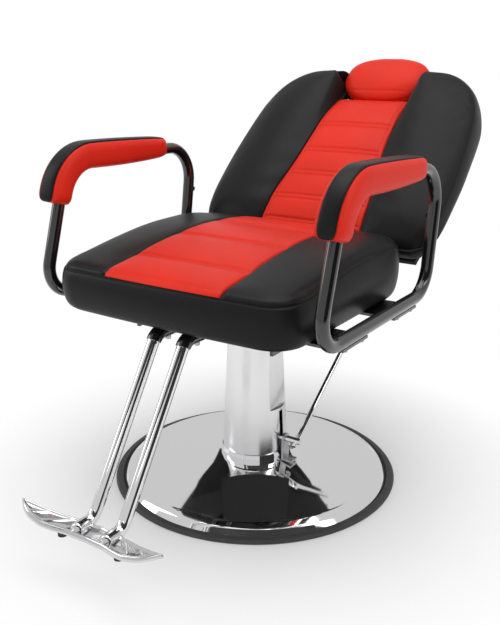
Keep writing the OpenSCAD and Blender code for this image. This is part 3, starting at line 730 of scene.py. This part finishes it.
# ---------------------------------------------------------------- backrest
BACK_SEAMS = (40 * MM, 100 * MM, 168 * MM, 236 * MM, 316 * MM)
wing_inner = curve([(0.010, 0.124), (0.025, 0.123), (0.114, 0.118), (0.168, 0.109), (0.237, 0.100),
                    (0.317, 0.095), (0.405, 0.092), (0.440, 0.094), (0.465, 0.096), (0.480, 0.101),
                    (0.487, 0.112)])
lumbar = curve([(0.010, 0.0), (0.03, 0.008), (0.06, 0.015), (0.10, 0.017), (0.2, 0.013), (0.3, 0.008),
                (0.4, 0.003), (0.47, 0.0)])
wing_outer = curve([(0.010, 0.238), (0.016, 0.252), (0.030, 0.264), (0.060, 0.271), (0.113, 0.275),
                    (0.183, 0.276), (0.290, 0.271), (0.360, 0.264), (0.405, 0.252), (0.435, 0.237),
                    (0.458, 0.216), (0.474, 0.194), (0.483, 0.170), (0.487, 0.150)])
centre_depth = curve([(0.0, 0.004), (0.25, 0.004), (0.32, 0.007), (0.36, 0.013), (0.405, 0.028),
                      (0.440, 0.042), (0.460, 0.046)])
WING_SIDE_HELD = 300  # points of the wing's side, next to its back, that the cloth keeps still
WING_ROWS = ([0.010, 0.013, 0.020, 0.030] + between(0.040, 0.100, 7) + between(0.100, 0.168, 8)
             + between(0.168, 0.236, 8) + between(0.236, 0.316, 9) + between(0.316, 0.436, 13)
             + [0.436, 0.446, 0.455, 0.463, 0.471, 0.478, 0.483, 0.487])


def make_wing(side, name, node):
    rows = np.array(WING_ROWS)
    t = np.linspace(0, 1, 20)
    grid_x = wing_inner(rows)[:, None] * (1 - t) + wing_outer(rows)[:, None] * t
    grid_s = np.repeat(rows[:, None], len(t), 1)
    d = edge_distance(grid_x, grid_s)
    edge = (6 * MM + 5 * MM * smooth(0, 1, t))[None] * np.ones_like(grid_x)
    inner_drop = np.maximum(centre_depth(grid_s) - 4 * MM, 0) * (1 - smooth(0, 0.1, t))
    edge = edge + inner_drop
    full = lumbar(grid_s)
    height = -edge + edge * shoulder(d, 27 * MM) + 5 * MM * smooth(0, 0.075, d) - 4 * MM + full
    full = full.ravel()
    thin = (18 * MM * smooth(0.40, 0.483, grid_s) * smooth(0, 0.5, t)).ravel()
    thin += (48 * MM * np.clip((0.36 - grid_s) / 0.3, 0, 1) * smooth(0.3, 0.85, t)).ravel()
    thin += 30 * MM * smooth(0.07, 0.012, grid_s).ravel()
    crest = (16 * MM * smooth(0.44, 0.48, grid_s) * smooth(0.5, 0.0, t)).ravel()
    rim = full - 4 * MM - edge.ravel()
    band = [(-0.6 * MM, rim - 1.4 * MM), (1 * MM, rim - 2.8 * MM), (2.5 * MM, rim - 8 * MM),
            (5 * MM + crest, 0.5 * rim - 24 * MM), (6 * MM + crest, -50 * MM + 0.5 * thin),
            (5 * MM + 0.5 * crest, -66 * MM + 0.75 * thin), (1 * MM, -80 * MM + thin),
            (-6 * MM, -88 * MM + thin), (-14 * MM, -91.5 * MM + thin), (-30 * MM, -92 * MM + thin)]
    pad = Pad(grid_x, grid_s, height, band)
    if side < 0:
        pad.verts[:, 0] *= -1
        pad.rest_plan[:, 0] *= -1
        pad.faces = [f[::-1] for f in pad.faces]
    wing = pad.build(name)
    held = list(range(pad.back_start - WING_SIDE_HELD, len(pad.verts)))
    inflate(wing, rim_points(pad.front) + held, 3.0, 6 * MM)
    subdivide(wing, FINE)

    def grooves(plan, co):
        x, s, face = np.abs(plan[:, 0]), plan[:, 1], plan[:, 2]
        ripple = 0.8 * MM * np.sin(s * 95 + x * 22)
        fold = ripple * bell(x - wing_inner(s) - 0.03, 0.03) * smooth(0.35, 0.1, s)
        return fold * smooth(0.8, 1, face)

    carve(wing, grooves)
    place(wing, BACK_FRAME)
    finish_piece(wing, "backrest", "black_vinyl", [node])


def make_centre():
    rows = np.array([0.019, 0.022] + [r for r in WING_ROWS if 0.025 < r < 0.431])
    t = np.linspace(-1, 1, 27)
    half = wing_inner(rows) - 0.6 * MM
    top = smooth(0.410, 0.430, rows) * 4 * MM
    grid_x = (half - top)[:, None] * t
    grid_s = np.repeat(rows[:, None], len(t), 1)
    d = edge_distance(grid_x, grid_s)
    base = -centre_depth(grid_s) - 2 * MM + lumbar(grid_s)
    height = base - 7 * MM + 7 * MM * shoulder(d, 22 * MM) + 2 * MM * smooth(0, 0.08, d)
    under = base.ravel()
    trim = 46 * MM * smooth(0.07, 0.012, grid_s).ravel()
    band = [(-0.5 * MM, under - 14 * MM), (-0.5 * MM, np.minimum(under - 20 * MM, -42 * MM) + 0.2 * trim),
            (-1 * MM, np.minimum(under - 28 * MM, -64 * MM) + 0.62 * trim), (-3 * MM, -84 * MM + trim),
            (-12 * MM, -88 * MM + trim), (-20 * MM, -88 * MM + trim)]
    pad = Pad(grid_x, grid_s, height, band)
    centre = pad.build("backrest_centre_red")
    index = pad.front
    seam_rows = [i for i, s in enumerate(rows) for seam in BACK_SEAMS if abs(s - seam) < 4.5 * MM]
    pinned = rim_points(index) + index[seam_rows].ravel().tolist() + list(range(index.size, len(pad.verts)))
    inflate(centre, pinned, 3.5, 6 * MM)
    subdivide(centre, FINE)

    def grooves(plan, co):
        x, s, face = np.abs(plan[:, 0]), plan[:, 1], plan[:, 2]
        on_face = smooth(0.5, 0.95, face)
        inside = smooth(0, 5 * MM, wing_inner(s) - x - 3 * MM)
        cut = double_seam(s, BACK_SEAMS, 5.5 * MM, 2.3 * MM, 2.4 * MM) * inside
        cut += 1.0 * MM * bell(wing_inner(s) - x - 9 * MM, 1.8 * MM)
        return cut * on_face

    carve(centre, grooves)
    place(centre, BACK_FRAME)
    finish_piece(centre, "backrest", "red_vinyl", ["backrest_centre"])


def make_rear_cover():
    rows = np.concatenate([[0.034, 0.037, 0.045, 0.058], np.linspace(0.075, 0.395, 18),
                           [0.41, 0.422, 0.430, 0.434]])
    half = curve([(0.034, 0.195), (0.037, 0.212), (0.045, 0.225), (0.058, 0.232), (0.15, 0.241),
                  (0.25, 0.238), (0.33, 0.228), (0.395, 0.2), (0.422, 0.172), (0.434, 0.14)])
    t = np.linspace(-1, 1, 25)
    grid_x = half(rows)[:, None] * t
    grid_s = np.repeat(rows[:, None], len(t), 1)
    d = edge_distance(grid_x, grid_s)
    lo = 91 * MM
    height = -lo + 0 * d
    rear = (-lo - 3.5 * MM * shoulder(d, 9 * MM) - 1.5 * MM * smooth(0, 0.1, d)).ravel()
    pad = Pad(grid_x, grid_s, height, [(0.8 * MM, -lo - 1.5 * MM + 0 * rear), (0, rear)])
    cover = pad.build("backrest_rear_panel")
    subdivide(cover, 1)
    place(cover, BACK_FRAME)
    finish_piece(cover, "backrest", "black_vinyl", ["backrest_rear_cover"])


def make_headrest():
    low, high = 0.433, 0.559
    mid, tall, wide = (low + high) / 2, (high - low) / 2, 0.103
    rows = mid + tall * np.sin(np.linspace(-math.pi / 2, math.pi / 2, 23))
    rel = np.clip(np.abs(rows - mid) / tall, 0, 1)
    half = wide * (1 - rel ** 2.9) ** (1 / 2.4)
    half = np.maximum(half, 0.028) * (1 - 0.06 * smooth(mid, low, rows))
    t = np.sin(np.linspace(-math.pi / 2, math.pi / 2, 27))
    grid_x = half[:, None] * t
    grid_s = np.repeat(rows[:, None], len(t), 1)
    d = edge_distance(grid_x, grid_s)
    seam = -52 * MM
    height = seam + 19 * MM * shoulder(d, 32 * MM) + 6 * MM * smooth(0, 0.06, d)
    band = [(-0.6 * MM, seam - 1.4 * MM), (1.2 * MM, seam - 3 * MM), (1.8 * MM, seam - 8 * MM),
            (0.5 * MM, seam - 13 * MM), (-4 * MM, seam - 17 * MM), (-12 * MM, seam - 19 * MM)]
    pad = Pad(grid_x, grid_s, height, band)
    head = pad.build("headrest_cushion")
    inflate(head, rim_points(pad.front) + list(range(pad.back_start, len(pad.verts))), 4.0, 6 * MM)
    subdivide(head, FINE)

    def grooves(plan, co):
        bow = low + 15 * MM + 0.9 * plan[:, 0] ** 2
        crease = 1.3 * MM * bell(plan[:, 1] - bow, 2.2 * MM) * smooth(0.085, 0.05, np.abs(plan[:, 0]))
        return crease * smooth(0.8, 1, plan[:, 2])

    carve(head, grooves)
    place(head, BACK_FRAME)
    finish_piece(head, "headrest", "red_vinyl", ["headrest_pad"])
    # Black vinyl piece behind the headrest, made wider and lower than the red face at the bottom so that it shows
    # as a dark rim under it: painted shade for the shadow gap beneath the headrest.
    shade_rim_half = half + 1.2 * MM + 3.5 * MM * smooth(mid, low, rows)
    stretch = (rows - mid) * (1 + 2.0 * MM / tall) + mid - 1.6 * MM
    shade_rim_s = np.repeat(stretch[:, None], len(t), 1)
    under = seam - 15 * MM
    built_piece = Pad(shade_rim_half[:, None] * t, shade_rim_s, under + 0 * d,
                [(1 * MM, under - 2 * MM), (0, under - 10 * MM), (-5 * MM, under - 19 * MM),
                 (-13 * MM, under - 24 * MM), (-22 * MM, under - 25 * MM)]).build("headrest_painted_shade_rim")
    subdivide(built_piece, 1)
    place(built_piece, BACK_FRAME)
    finish_piece(built_piece, "headrest", "black_vinyl")


# ---------------------------------------------------------------- arms
ARM_X = (ARM_LO.x + ARM_HI.x) / 2
ARM_R = (ARM_HI.x - ARM_LO.x) / 2
RAIL_Z = ARM_LO.z + ARM_R
ARM_TOP_Z = ARM_HI.z - ARM_R
ARM_CORNERS = ((-0.281, RAIL_Z), (-0.206, ARM_TOP_Z), (0.184, ARM_TOP_Z), (0.148, RAIL_Z))
ARM_RADII = (0.050, 0.075, 0.070, 0.060)
PAD_HALF = 0.0275
PAD_OVER = 0.038  # top of the pad over the tube's centre line
PAD_UNDER = 0.014  # underside of the pad below it
PAD_REAR_Y = 0.079
PAD_GIRTH = 0.16  # length round the pad's section, about


def make_arm(side, word):
    corners = [(side * ARM_X, y, z) for y, z in ARM_CORNERS]
    path = rounded_path(corners, ARM_RADII, closed=True, steps=14)
    frame_tube = tube(f"arm_tube_{word}", path, ARM_R, closed=True, sides=32)
    finish_piece(frame_tube, "seat", "black_paint", [f"arm_frame_{word}"])


def arm_pad_lines():
    """Outer and inner line of an arm pad in the side plane, from its lower front end to its rear."""
    (y0, z0), (y1, z1) = ARM_CORNERS[:2]
    lean = math.atan2(z1 - z0, y1 - y0)
    cy = y1 + ARM_RADII[1] * math.tan(lean / 2)
    cz = ARM_TOP_Z - ARM_RADII[1]
    far, near = ARM_RADII[1] + PAD_OVER, ARM_RADII[1] - PAD_UNDER
    outer, inner = [], []

    def at_angle(a, ahead=0.0):
        c, s = math.cos(a), math.sin(a)
        down = (ahead * s, -ahead * c)
        outer.append((cy + far * c - down[0], cz + far * s - down[1]))
        inner.append((cy + near * c - down[0], cz + near * s - down[1]))

    first = math.pi / 2 + lean
    for ahead in (0.021, 0.017, 0.011, 0.005):
        at_angle(first, ahead)
    for a in np.linspace(first, math.pi / 2, 20):
        at_angle(a)
    for t in np.linspace(0, 1, 21)[1:]:
        y = cy + t * (PAD_REAR_Y - cy)
        outer.append((y, ARM_TOP_Z + PAD_OVER - 0.011 * t ** 1.5))
        inner.append((y, ARM_TOP_Z - PAD_UNDER - 0.003 * math.sin(math.pi * t)))
    return np.array(outer), np.array(inner)


def make_arm_pad(side, word):
    outer, inner = arm_pad_lines()
    n = len(outer)
    around = 40
    verts, plan = [], []
    for i in range(n):
        end = min(i, n - 1 - i)
        pinch = (0.62, 0.86, 0.96, 1.0)[min(end, 3)]
        mid = (outer[i] + inner[i]) / 2
        reach = (outer[i] - inner[i]) / 2
        for j in range(around):
            a = 2 * math.pi * j / around
            c, s = math.cos(a), math.sin(a)
            x = PAD_HALF * math.copysign(abs(c) ** 0.55, c)
            w = math.copysign(abs(s) ** 0.62, s)
            x *= 1 - 0.10 * max(w, 0) ** 2
            verts.append((side * ARM_X + x * pinch, *(mid + reach * w * (0.55 + 0.45 * pinch))))
            plan.append((i / (n - 1), abs((a + math.pi / 2) % (2 * math.pi) - math.pi) / (2 * math.pi), 1))
    faces = []
    for i in range(n - 1):
        for j in range(around):
            k = (j + 1) % around
            faces.append((i * around + j, i * around + k, (i + 1) * around + k, (i + 1) * around + j))
    for i, order in ((0, range(around - 1, -1, -1)), (n - 1, range(around))):
        ring = [i * around + j for j in order]
        centre = len(verts)
        verts.append(np.mean([verts[v] for v in ring], 0))
        plan.append((i / (n - 1), 0.5, 0))
        faces += [(ring[k], ring[(k + 1) % around], centre) for k in range(around)]
    pad = new_object(f"arm_pad_{word}_red", verts, faces)
    attribute = pad.data.attributes.new("plan", "FLOAT_VECTOR", "POINT")
    attribute.data.foreach_set("vector", np.array(plan, np.float32).ravel())
    subdivide(pad, FINE)
    strip_half = 0.083

    def black_zone(plan, co):
        """Positive on the strip over the top and front of the pad, within its two seams."""
        return (strip_half - plan[:, 1]) * PAD_GIRTH

    def grooves(plan, co):
        cut = 1.6 * MM * bell(black_zone(plan, co), 2.0 * MM)
        return cut * smooth(0.2, 0.9, plan[:, 2])

    carve(pad, grooves)
    strip = cover_panel(pad, f"arm_pad_{word}_black", black_zone, depth=0.003, thickness=0.0025)
    finish_piece(pad, "seat", "red_vinyl", [f"arm_pad_{word}"])
    finish_piece(strip, "seat", "black_vinyl")


# ---------------------------------------------------------------- base and footrest
BASE_BORE_R = 0.0505


def make_base():
    rim = RING_HI.x - 17 * MM
    shoulder_r = RING_HI.x - 40 * MM
    top = BASE_HI.z
    collar_r = COLLAR_HI.x
    profile = [(BASE_BORE_R, top), (collar_r + 2 * MM, top), (collar_r + 60 * MM, top - 9.1 * MM),
               (shoulder_r, top - 19.5 * MM),
               (shoulder_r + 14 * MM, top - 27 * MM), (rim, 5 * MM), (rim - 4 * MM, 5 * MM),
               (shoulder_r + 9 * MM, top - 29 * MM), (shoulder_r - 3 * MM, top - 23 * MM),
               (collar_r, top - 6 * MM), (BASE_BORE_R, top - 6 * MM)]
    radii = [0, 4 * MM, 1.5, 14 * MM, 16 * MM, 1 * MM, 1 * MM, 10 * MM, 10 * MM, 2 * MM, 0]
    cone = revolve("base_cone", fillet(profile, radii, 12))
    finish_piece(cone, "base", "chrome", ["base_plate"])
    ring_profile = [(rim - 9 * MM, 0.2 * MM), (RING_HI.x - 2 * MM, 0.2 * MM), (RING_HI.x, 3 * MM),
                    (RING_HI.x - 4 * MM, RING_HI.z - 1.5 * MM), (rim + 2 * MM, RING_HI.z),
                    (rim + 0.5 * MM, 4.6 * MM), (rim - 9 * MM, 4.6 * MM)]
    ring = revolve("floor_ring", fillet(ring_profile, [0.5 * MM, 1.5 * MM, 2 * MM, 3 * MM, 1.5 * MM, 0, 0]))
    finish_piece(ring, "base", "floor_rubber", ["base_rubber_ring"])


def make_column_cover():
    low, high = COVER_LO.z, COVER_HI.z
    foot_r = COVER_HI.x
    slope = 0.052
    ledge, flat_x, flat_slope = 0.155, 0.054, 0.042
    around = 256
    levels = (list(np.linspace(low, ledge - 0.2 * MM, 16)) + [ledge, ledge + 1.2 * MM]
              + list(np.linspace(ledge + 3 * MM, high - 1 * MM, 14)) + [high])
    verts = []
    for z in levels:
        for j in range(around):
            a = 2 * math.pi * j / around
            r = foot_r - (z - low) * slope - (0.5 * MM if z in (low, high) else 0)
            x, y = r * math.cos(a), r * math.sin(a)
            if z > ledge + 0.5 * MM:
                x = min(x, flat_x - (z - ledge) * flat_slope)
            verts.append((x, y, z))
    n = len(levels)
    faces = []
    for i in range(n - 1):
        for j in range(around):
            k = (j + 1) % around
            quad = (i * around + j, i * around + k, (i + 1) * around + k, (i + 1) * around + j)
            a = 2 * math.pi * (j + 0.5) / around
            on_slot_line = math.cos(a) > 0 and abs(foot_r * math.sin(a)) < 6.5 * MM
            if not (on_slot_line and levels[i + 1] < ledge - 3 * MM):
                faces.append(quad)
    built_piece = new_object("column_shell", verts, faces)
    solid = built_piece.modifiers.new("wall", "SOLIDIFY")
    solid.thickness = 1.5 * MM
    solid.offset = -1
    bevel = built_piece.modifiers.new("edge", "BEVEL")
    bevel.width = 0.5 * MM
    bevel.segments = 2
    bevel.limit_method = "ANGLE"
    bevel.angle_limit = math.radians(35)
    apply_modifiers(built_piece)
    finish_piece(built_piece, "base", "chrome", ["column_cover"], look="satin_chrome")


FOOT_TUBE_X = 0.032
FOOT_TUBE_R = 0.011
FOOT_CORNERS = ((-0.205, 0.372), (-0.268, 0.372), (-0.4479, 0.095), (-0.480, 0.095))


def make_footrest_tubes():
    for side, word in ((-1, "left"), (1, "right")):
        corners = [(side * FOOT_TUBE_X, y, z) for y, z in FOOT_CORNERS]
        path = rounded_path(corners, (0, 0.025, 0.030, 0), steps=14)
        made = tube(f"footrest_tube_{word}", path, FOOT_TUBE_R, sides=32)
        finish_piece(made, "seat", "chrome", ["footrest_tubes"] if side < 0 else [])


plate_rear = curve([(0, -0.4545), (0.25, -0.459), (0.5, -0.469), (0.75, -0.479), (1, -0.486)])
plate_front = curve([(0, -0.500), (0.25, -0.503), (0.45, -0.511), (0.6, -0.515), (0.75, -0.5135),
                     (0.88, -0.507), (1, -0.495)])


def make_foot_plate():
    """Cast plate with a rolled rim, raised tips, slanting ribs and a boss over each tube end."""
    half = PLATE_HI.x - 1 * MM
    mid_z = PLATE_LO.z + 13 * MM
    u = np.linspace(-1, 1, 161)
    v = np.linspace(0, 1, 41)
    uu, vv = np.meshgrid(u, v, indexing="ij")
    taper = np.sqrt(np.clip(1 - np.abs(uu) ** 9, 0.02, 1))
    rear = plate_rear(np.abs(uu))
    front = plate_front(np.abs(uu))
    mid = (rear + front) / 2
    y = mid + (rear - mid) * (1 - 2 * vv) * taper
    x = uu * half
    z = mid_z + 0.024 * uu ** 2
    d = np.minimum(np.minimum(vv, 1 - vv) * (rear - front) * taper, (1 - np.abs(uu)) * half)
    rim = 2.4 * MM * bell(d - 4.5 * MM, 3.0 * MM)
    ahead = rear - y
    slant = np.abs(x) - 1.9 * ahead + 14 * ahead ** 2
    pitch = 0.042
    off_rib = (slant + 0.5 * pitch) % pitch - 0.5 * pitch
    ribs = 0.9 * MM * bell(off_rib, 5 * MM) * smooth(5 * MM, 13 * MM, d)
    ribs *= smooth(0.012, 0.030, np.abs(x))
    dish = 1.0 * MM * smooth(6 * MM, 22 * MM, d)
    top = z + rim + ribs - dish - 4.5 * MM * (1 - shoulder(d, 4 * MM))
    low = z - 5.5 * MM - 1.5 * MM * shoulder(d, 6 * MM)
    pad_index = np.arange(uu.size).reshape(uu.shape)
    verts = np.concatenate([np.stack([x, y, level], -1).reshape(-1, 3) for level in (top, low)])
    faces = Pad.grid_faces(pad_index)
    faces = [f[::-1] for f in faces] + [tuple(i + uu.size for i in f) for f in faces]
    loop = outline(pad_index).tolist()
    faces += [(a, b, b + uu.size, a + uu.size) for a, b in zip(loop, loop[1:] + loop[:1])]
    plate = new_object("foot_plate_casting", verts, faces)
    finish_piece(plate, "seat", "chrome", ["foot_plate"], look="cast_chrome")
    for side, word in ((-1, "left"), (1, "right")):
        path = [Vector((side * FOOT_TUBE_X, yy, 0.0945)) for yy in np.linspace(-0.463, -0.488, 8)]
        boss = tube(f"foot_plate_boss_{word}", path, 12.4 * MM, sides=32, ends=5 * MM)
        finish_piece(boss, "seat", "chrome", look="cast_chrome")


def make_lever():
    shaft_lo, shaft_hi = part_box("rocker_shaft")
    pivot = Vector((shaft_hi.x - 9 * MM, 0, (shaft_lo.z + shaft_hi.z) / 2))
    angle = math.radians(36)
    along = Vector((0, math.cos(angle), math.sin(angle)))
    corner = pivot + along * 0.262
    points = [pivot - along * 0.013, corner, corner - Vector((0.128, 0, 0))]
    path = rounded_path(points, (0, 0.022, 0), steps=14)
    path = [path[0], pivot + along * 0.1] + path[1:]
    rod = tube("pump_lever_rod", path, 5 * MM, sides=24, side=along.cross(Vector((1, 0, 0))), ends=1 * MM)
    finish_piece(rod, "pump_lever", "chrome", ["lever_rod"])


# ---------------------------------------------------------------- carried-over CAD nodes
def dress_cad_nodes():
    slots = {s["node"]: s["material_slot"] for s in frame["record"]["subparts"]}
    for name, obj in frame["nodes"].items():
        obj.data.materials.clear()
        obj.data.materials.append(MATERIALS[slots[name]])
        obj.data.shade_smooth()
        bevel = obj.modifiers.new("edge", "BEVEL")
        bevel.width = 0.4 * MM
        bevel.segments = 2
        bevel.limit_method = "ANGLE"
        bevel.angle_limit = math.radians(40)
        weighted = obj.modifiers.new("normals", "WEIGHTED_NORMAL")
        weighted.keep_sharp = True


# ---------------------------------------------------------------- stage, tuned to the pale studio look
CAMERA_PLACE = Vector((0.866, -1.332, 0.847))
CAMERA_TURN = math.radians(33.41)
CAMERA_DIP = math.radians(17.54)
CAMERA_LENS = 48.2
AMBIENT = 0.62
LAMPS = (
    ("top", (0.0, 0.1, 2.8), (0, 0, 0.3), (2.2, 1.8), 22),
    ("left", (-2.3, -1.2, 1.7), (0, 0, 0.5), (0.8, 2.0), 11),
    ("right", (2.3, 0.2, 1.9), (0, 0, 0.5), (0.7, 2.0), 10),
    ("front", (0.4, -2.8, 2.3), (0, 0, 0.4), (1.4, 1.0), 7),
)
FLOOR_FADE = (0.2, 0.65)  # radii between which the floor goes from lit to plain white
CARD_VALUE = 0.02
UPWARDS = Vector((0, 0, 1))
# Level directions seen from the camera: straight away from it, and across to its right
AWAY = Vector((-0.55, 0.835, 0))
ACROSS = Vector((0.835, 0.55, 0))


def under_card(first, last):
    """Corners of a flat card from two of its edges, each (distance, half width, height)."""
    (d0, w0, z0), (d1, w1, z1) = first, last
    return [AWAY * d0 - ACROSS * w0 + UPWARDS * z0, AWAY * d0 + ACROSS * w0 + UPWARDS * z0,
            AWAY * d1 + ACROSS * w1 + UPWARDS * z1, AWAY * d1 - ACROSS * w1 + UPWARDS * z1]


def upright_card(a, b, low, high):
    """Corners of a card standing over the line from a to b."""
    return [(*a, low), (*b, low), (*b, high), (*a, high)]


# Name, corners, and whether the card is clear from behind
CARDS = (
    ("dark_card_right", upright_card((1.93, -1.74), (2.57, 0.36), -0.2, 2.4), False),
    ("dark_card_front", upright_card((-0.46, -2.21), (2.20, -0.47), 1.2, 3.6), False),
    ("dark_card_under", under_card((0.0, 0.27, 0.350), (0.50, 0.13, 0.352)), False),
    ("dark_card_behind", under_card((0.25, 0.12, 0.15), (0.25, 0.19, 0.350)), False),
    ("dark_card_column", under_card((-0.078, 0.072, 0.06), (-0.078, 0.072, 0.352)), True),
)


def area_light(name, place_at, target, size, power):
    data = bpy.data.lights.new(name, "AREA")
    data.shape = "RECTANGLE"
    data.size, data.size_y = size
    data.energy = power
    lamp = bpy.data.objects.new(name, data)
    lamp.location = place_at
    lamp.rotation_euler = (Vector(target) - Vector(place_at)).to_track_quat("-Z", "Y").to_euler()
    bpy.context.scene.collection.objects.link(lamp)


def card(name, corners, one_sided):
    """Flat dark card, part of the stage, that shows up only in reflections."""
    obj = new_object(name, corners, [tuple(range(len(corners)))], smooth=False)
    shader = Shader(name, (CARD_VALUE,) * 3, roughness=0.9)
    obj.data.materials.append(shader.mat)
    if one_sided:
        side = shader.node("NewGeometry")
        clear = shader.node("BsdfTransparent")
        mix = shader.node("MixShader")
        shader.link(side.outputs["Backfacing"], mix.inputs[0])
        shader.link(shader.bsdf.outputs[0], mix.inputs[1])
        shader.link(clear.outputs[0], mix.inputs[2])
        shader.link(mix.outputs[0], shader.tree.nodes["Material Output"].inputs["Surface"])
    obj.visible_camera = False
    obj.visible_shadow = False
    obj.visible_diffuse = False


def make_stage():
    scene = bpy.context.scene
    corners = [(-30, -30, 0), (30, -30, 0), (30, 30, 0), (-30, 30, 0)]
    floor = new_object("studio_floor", corners, [(0, 1, 2, 3)])
    shader = Shader("studio_floor", (0.9, 0.9, 0.9), roughness=0.9)
    far = shader.node("VectorMath")
    far.operation = "LENGTH"
    shader.link(shader.coords, far.inputs[0])
    fade = shader.node("MapRange")
    fade.inputs["From Min"].default_value, fade.inputs["From Max"].default_value = FLOOR_FADE
    shader.link(far.outputs["Value"], fade.inputs["Value"])
    eye = shader.node("LightPath")
    both = shader.node("Math")
    both.operation = "MULTIPLY"
    shader.link(fade.outputs["Result"], both.inputs[0])
    shader.link(eye.outputs["Is Camera Ray"], both.inputs[1])
    white = shader.node("Emission")
    mix = shader.node("MixShader")
    out = shader.tree.nodes["Material Output"]
    shader.link(both.outputs["Value"], mix.inputs[0])
    shader.link(shader.bsdf.outputs[0], mix.inputs[1])
    shader.link(white.outputs[0], mix.inputs[2])
    shader.link(mix.outputs[0], out.inputs["Surface"])
    floor.data.materials.append(shader.mat)

    world = bpy.data.worlds.new("studio")
    world.use_nodes = True
    tree = world.node_tree
    back = tree.nodes["Background"]
    sight = tree.nodes.new("ShaderNodeLightPath")
    level = tree.nodes.new("ShaderNodeMapRange")
    level.inputs["To Min"].default_value = AMBIENT
    level.inputs["To Max"].default_value = 1.0
    tree.links.new(sight.outputs["Is Camera Ray"], level.inputs["Value"])
    tree.links.new(level.outputs["Result"], back.inputs["Strength"])
    back.inputs["Color"].default_value = (1, 1, 1, 1)
    scene.world = world
    for name, spot, target, size, power in LAMPS:
        area_light(name, spot, target, size, power)
    for name, corners, one_sided in CARDS:
        card(name, corners, one_sided)
    camera = bpy.data.cameras.new("camera")
    camera.lens = CAMERA_LENS
    camera.sensor_width = 36
    obj = bpy.data.objects.new("camera", camera)
    obj.location = CAMERA_PLACE
    obj.rotation_euler = (math.pi / 2 - CAMERA_DIP, 0, CAMERA_TURN)
    scene.collection.objects.link(obj)
    scene.camera = obj
    scene.view_settings.view_transform = "Standard"
    scene.view_settings.look = "None"


make_seat()
for wing_side, wing_word in ((-1, "left"), (1, "right")):
    make_wing(wing_side, f"backrest_wing_{wing_word}_pad", f"backrest_wing_{wing_word}")
    make_arm(wing_side, wing_word)
    make_arm_pad(wing_side, wing_word)
make_centre()
make_rear_cover()
make_headrest()
make_base()
make_column_cover()
make_footrest_tubes()
make_foot_plate()
make_lever()
dress_cad_nodes()
make_stage()
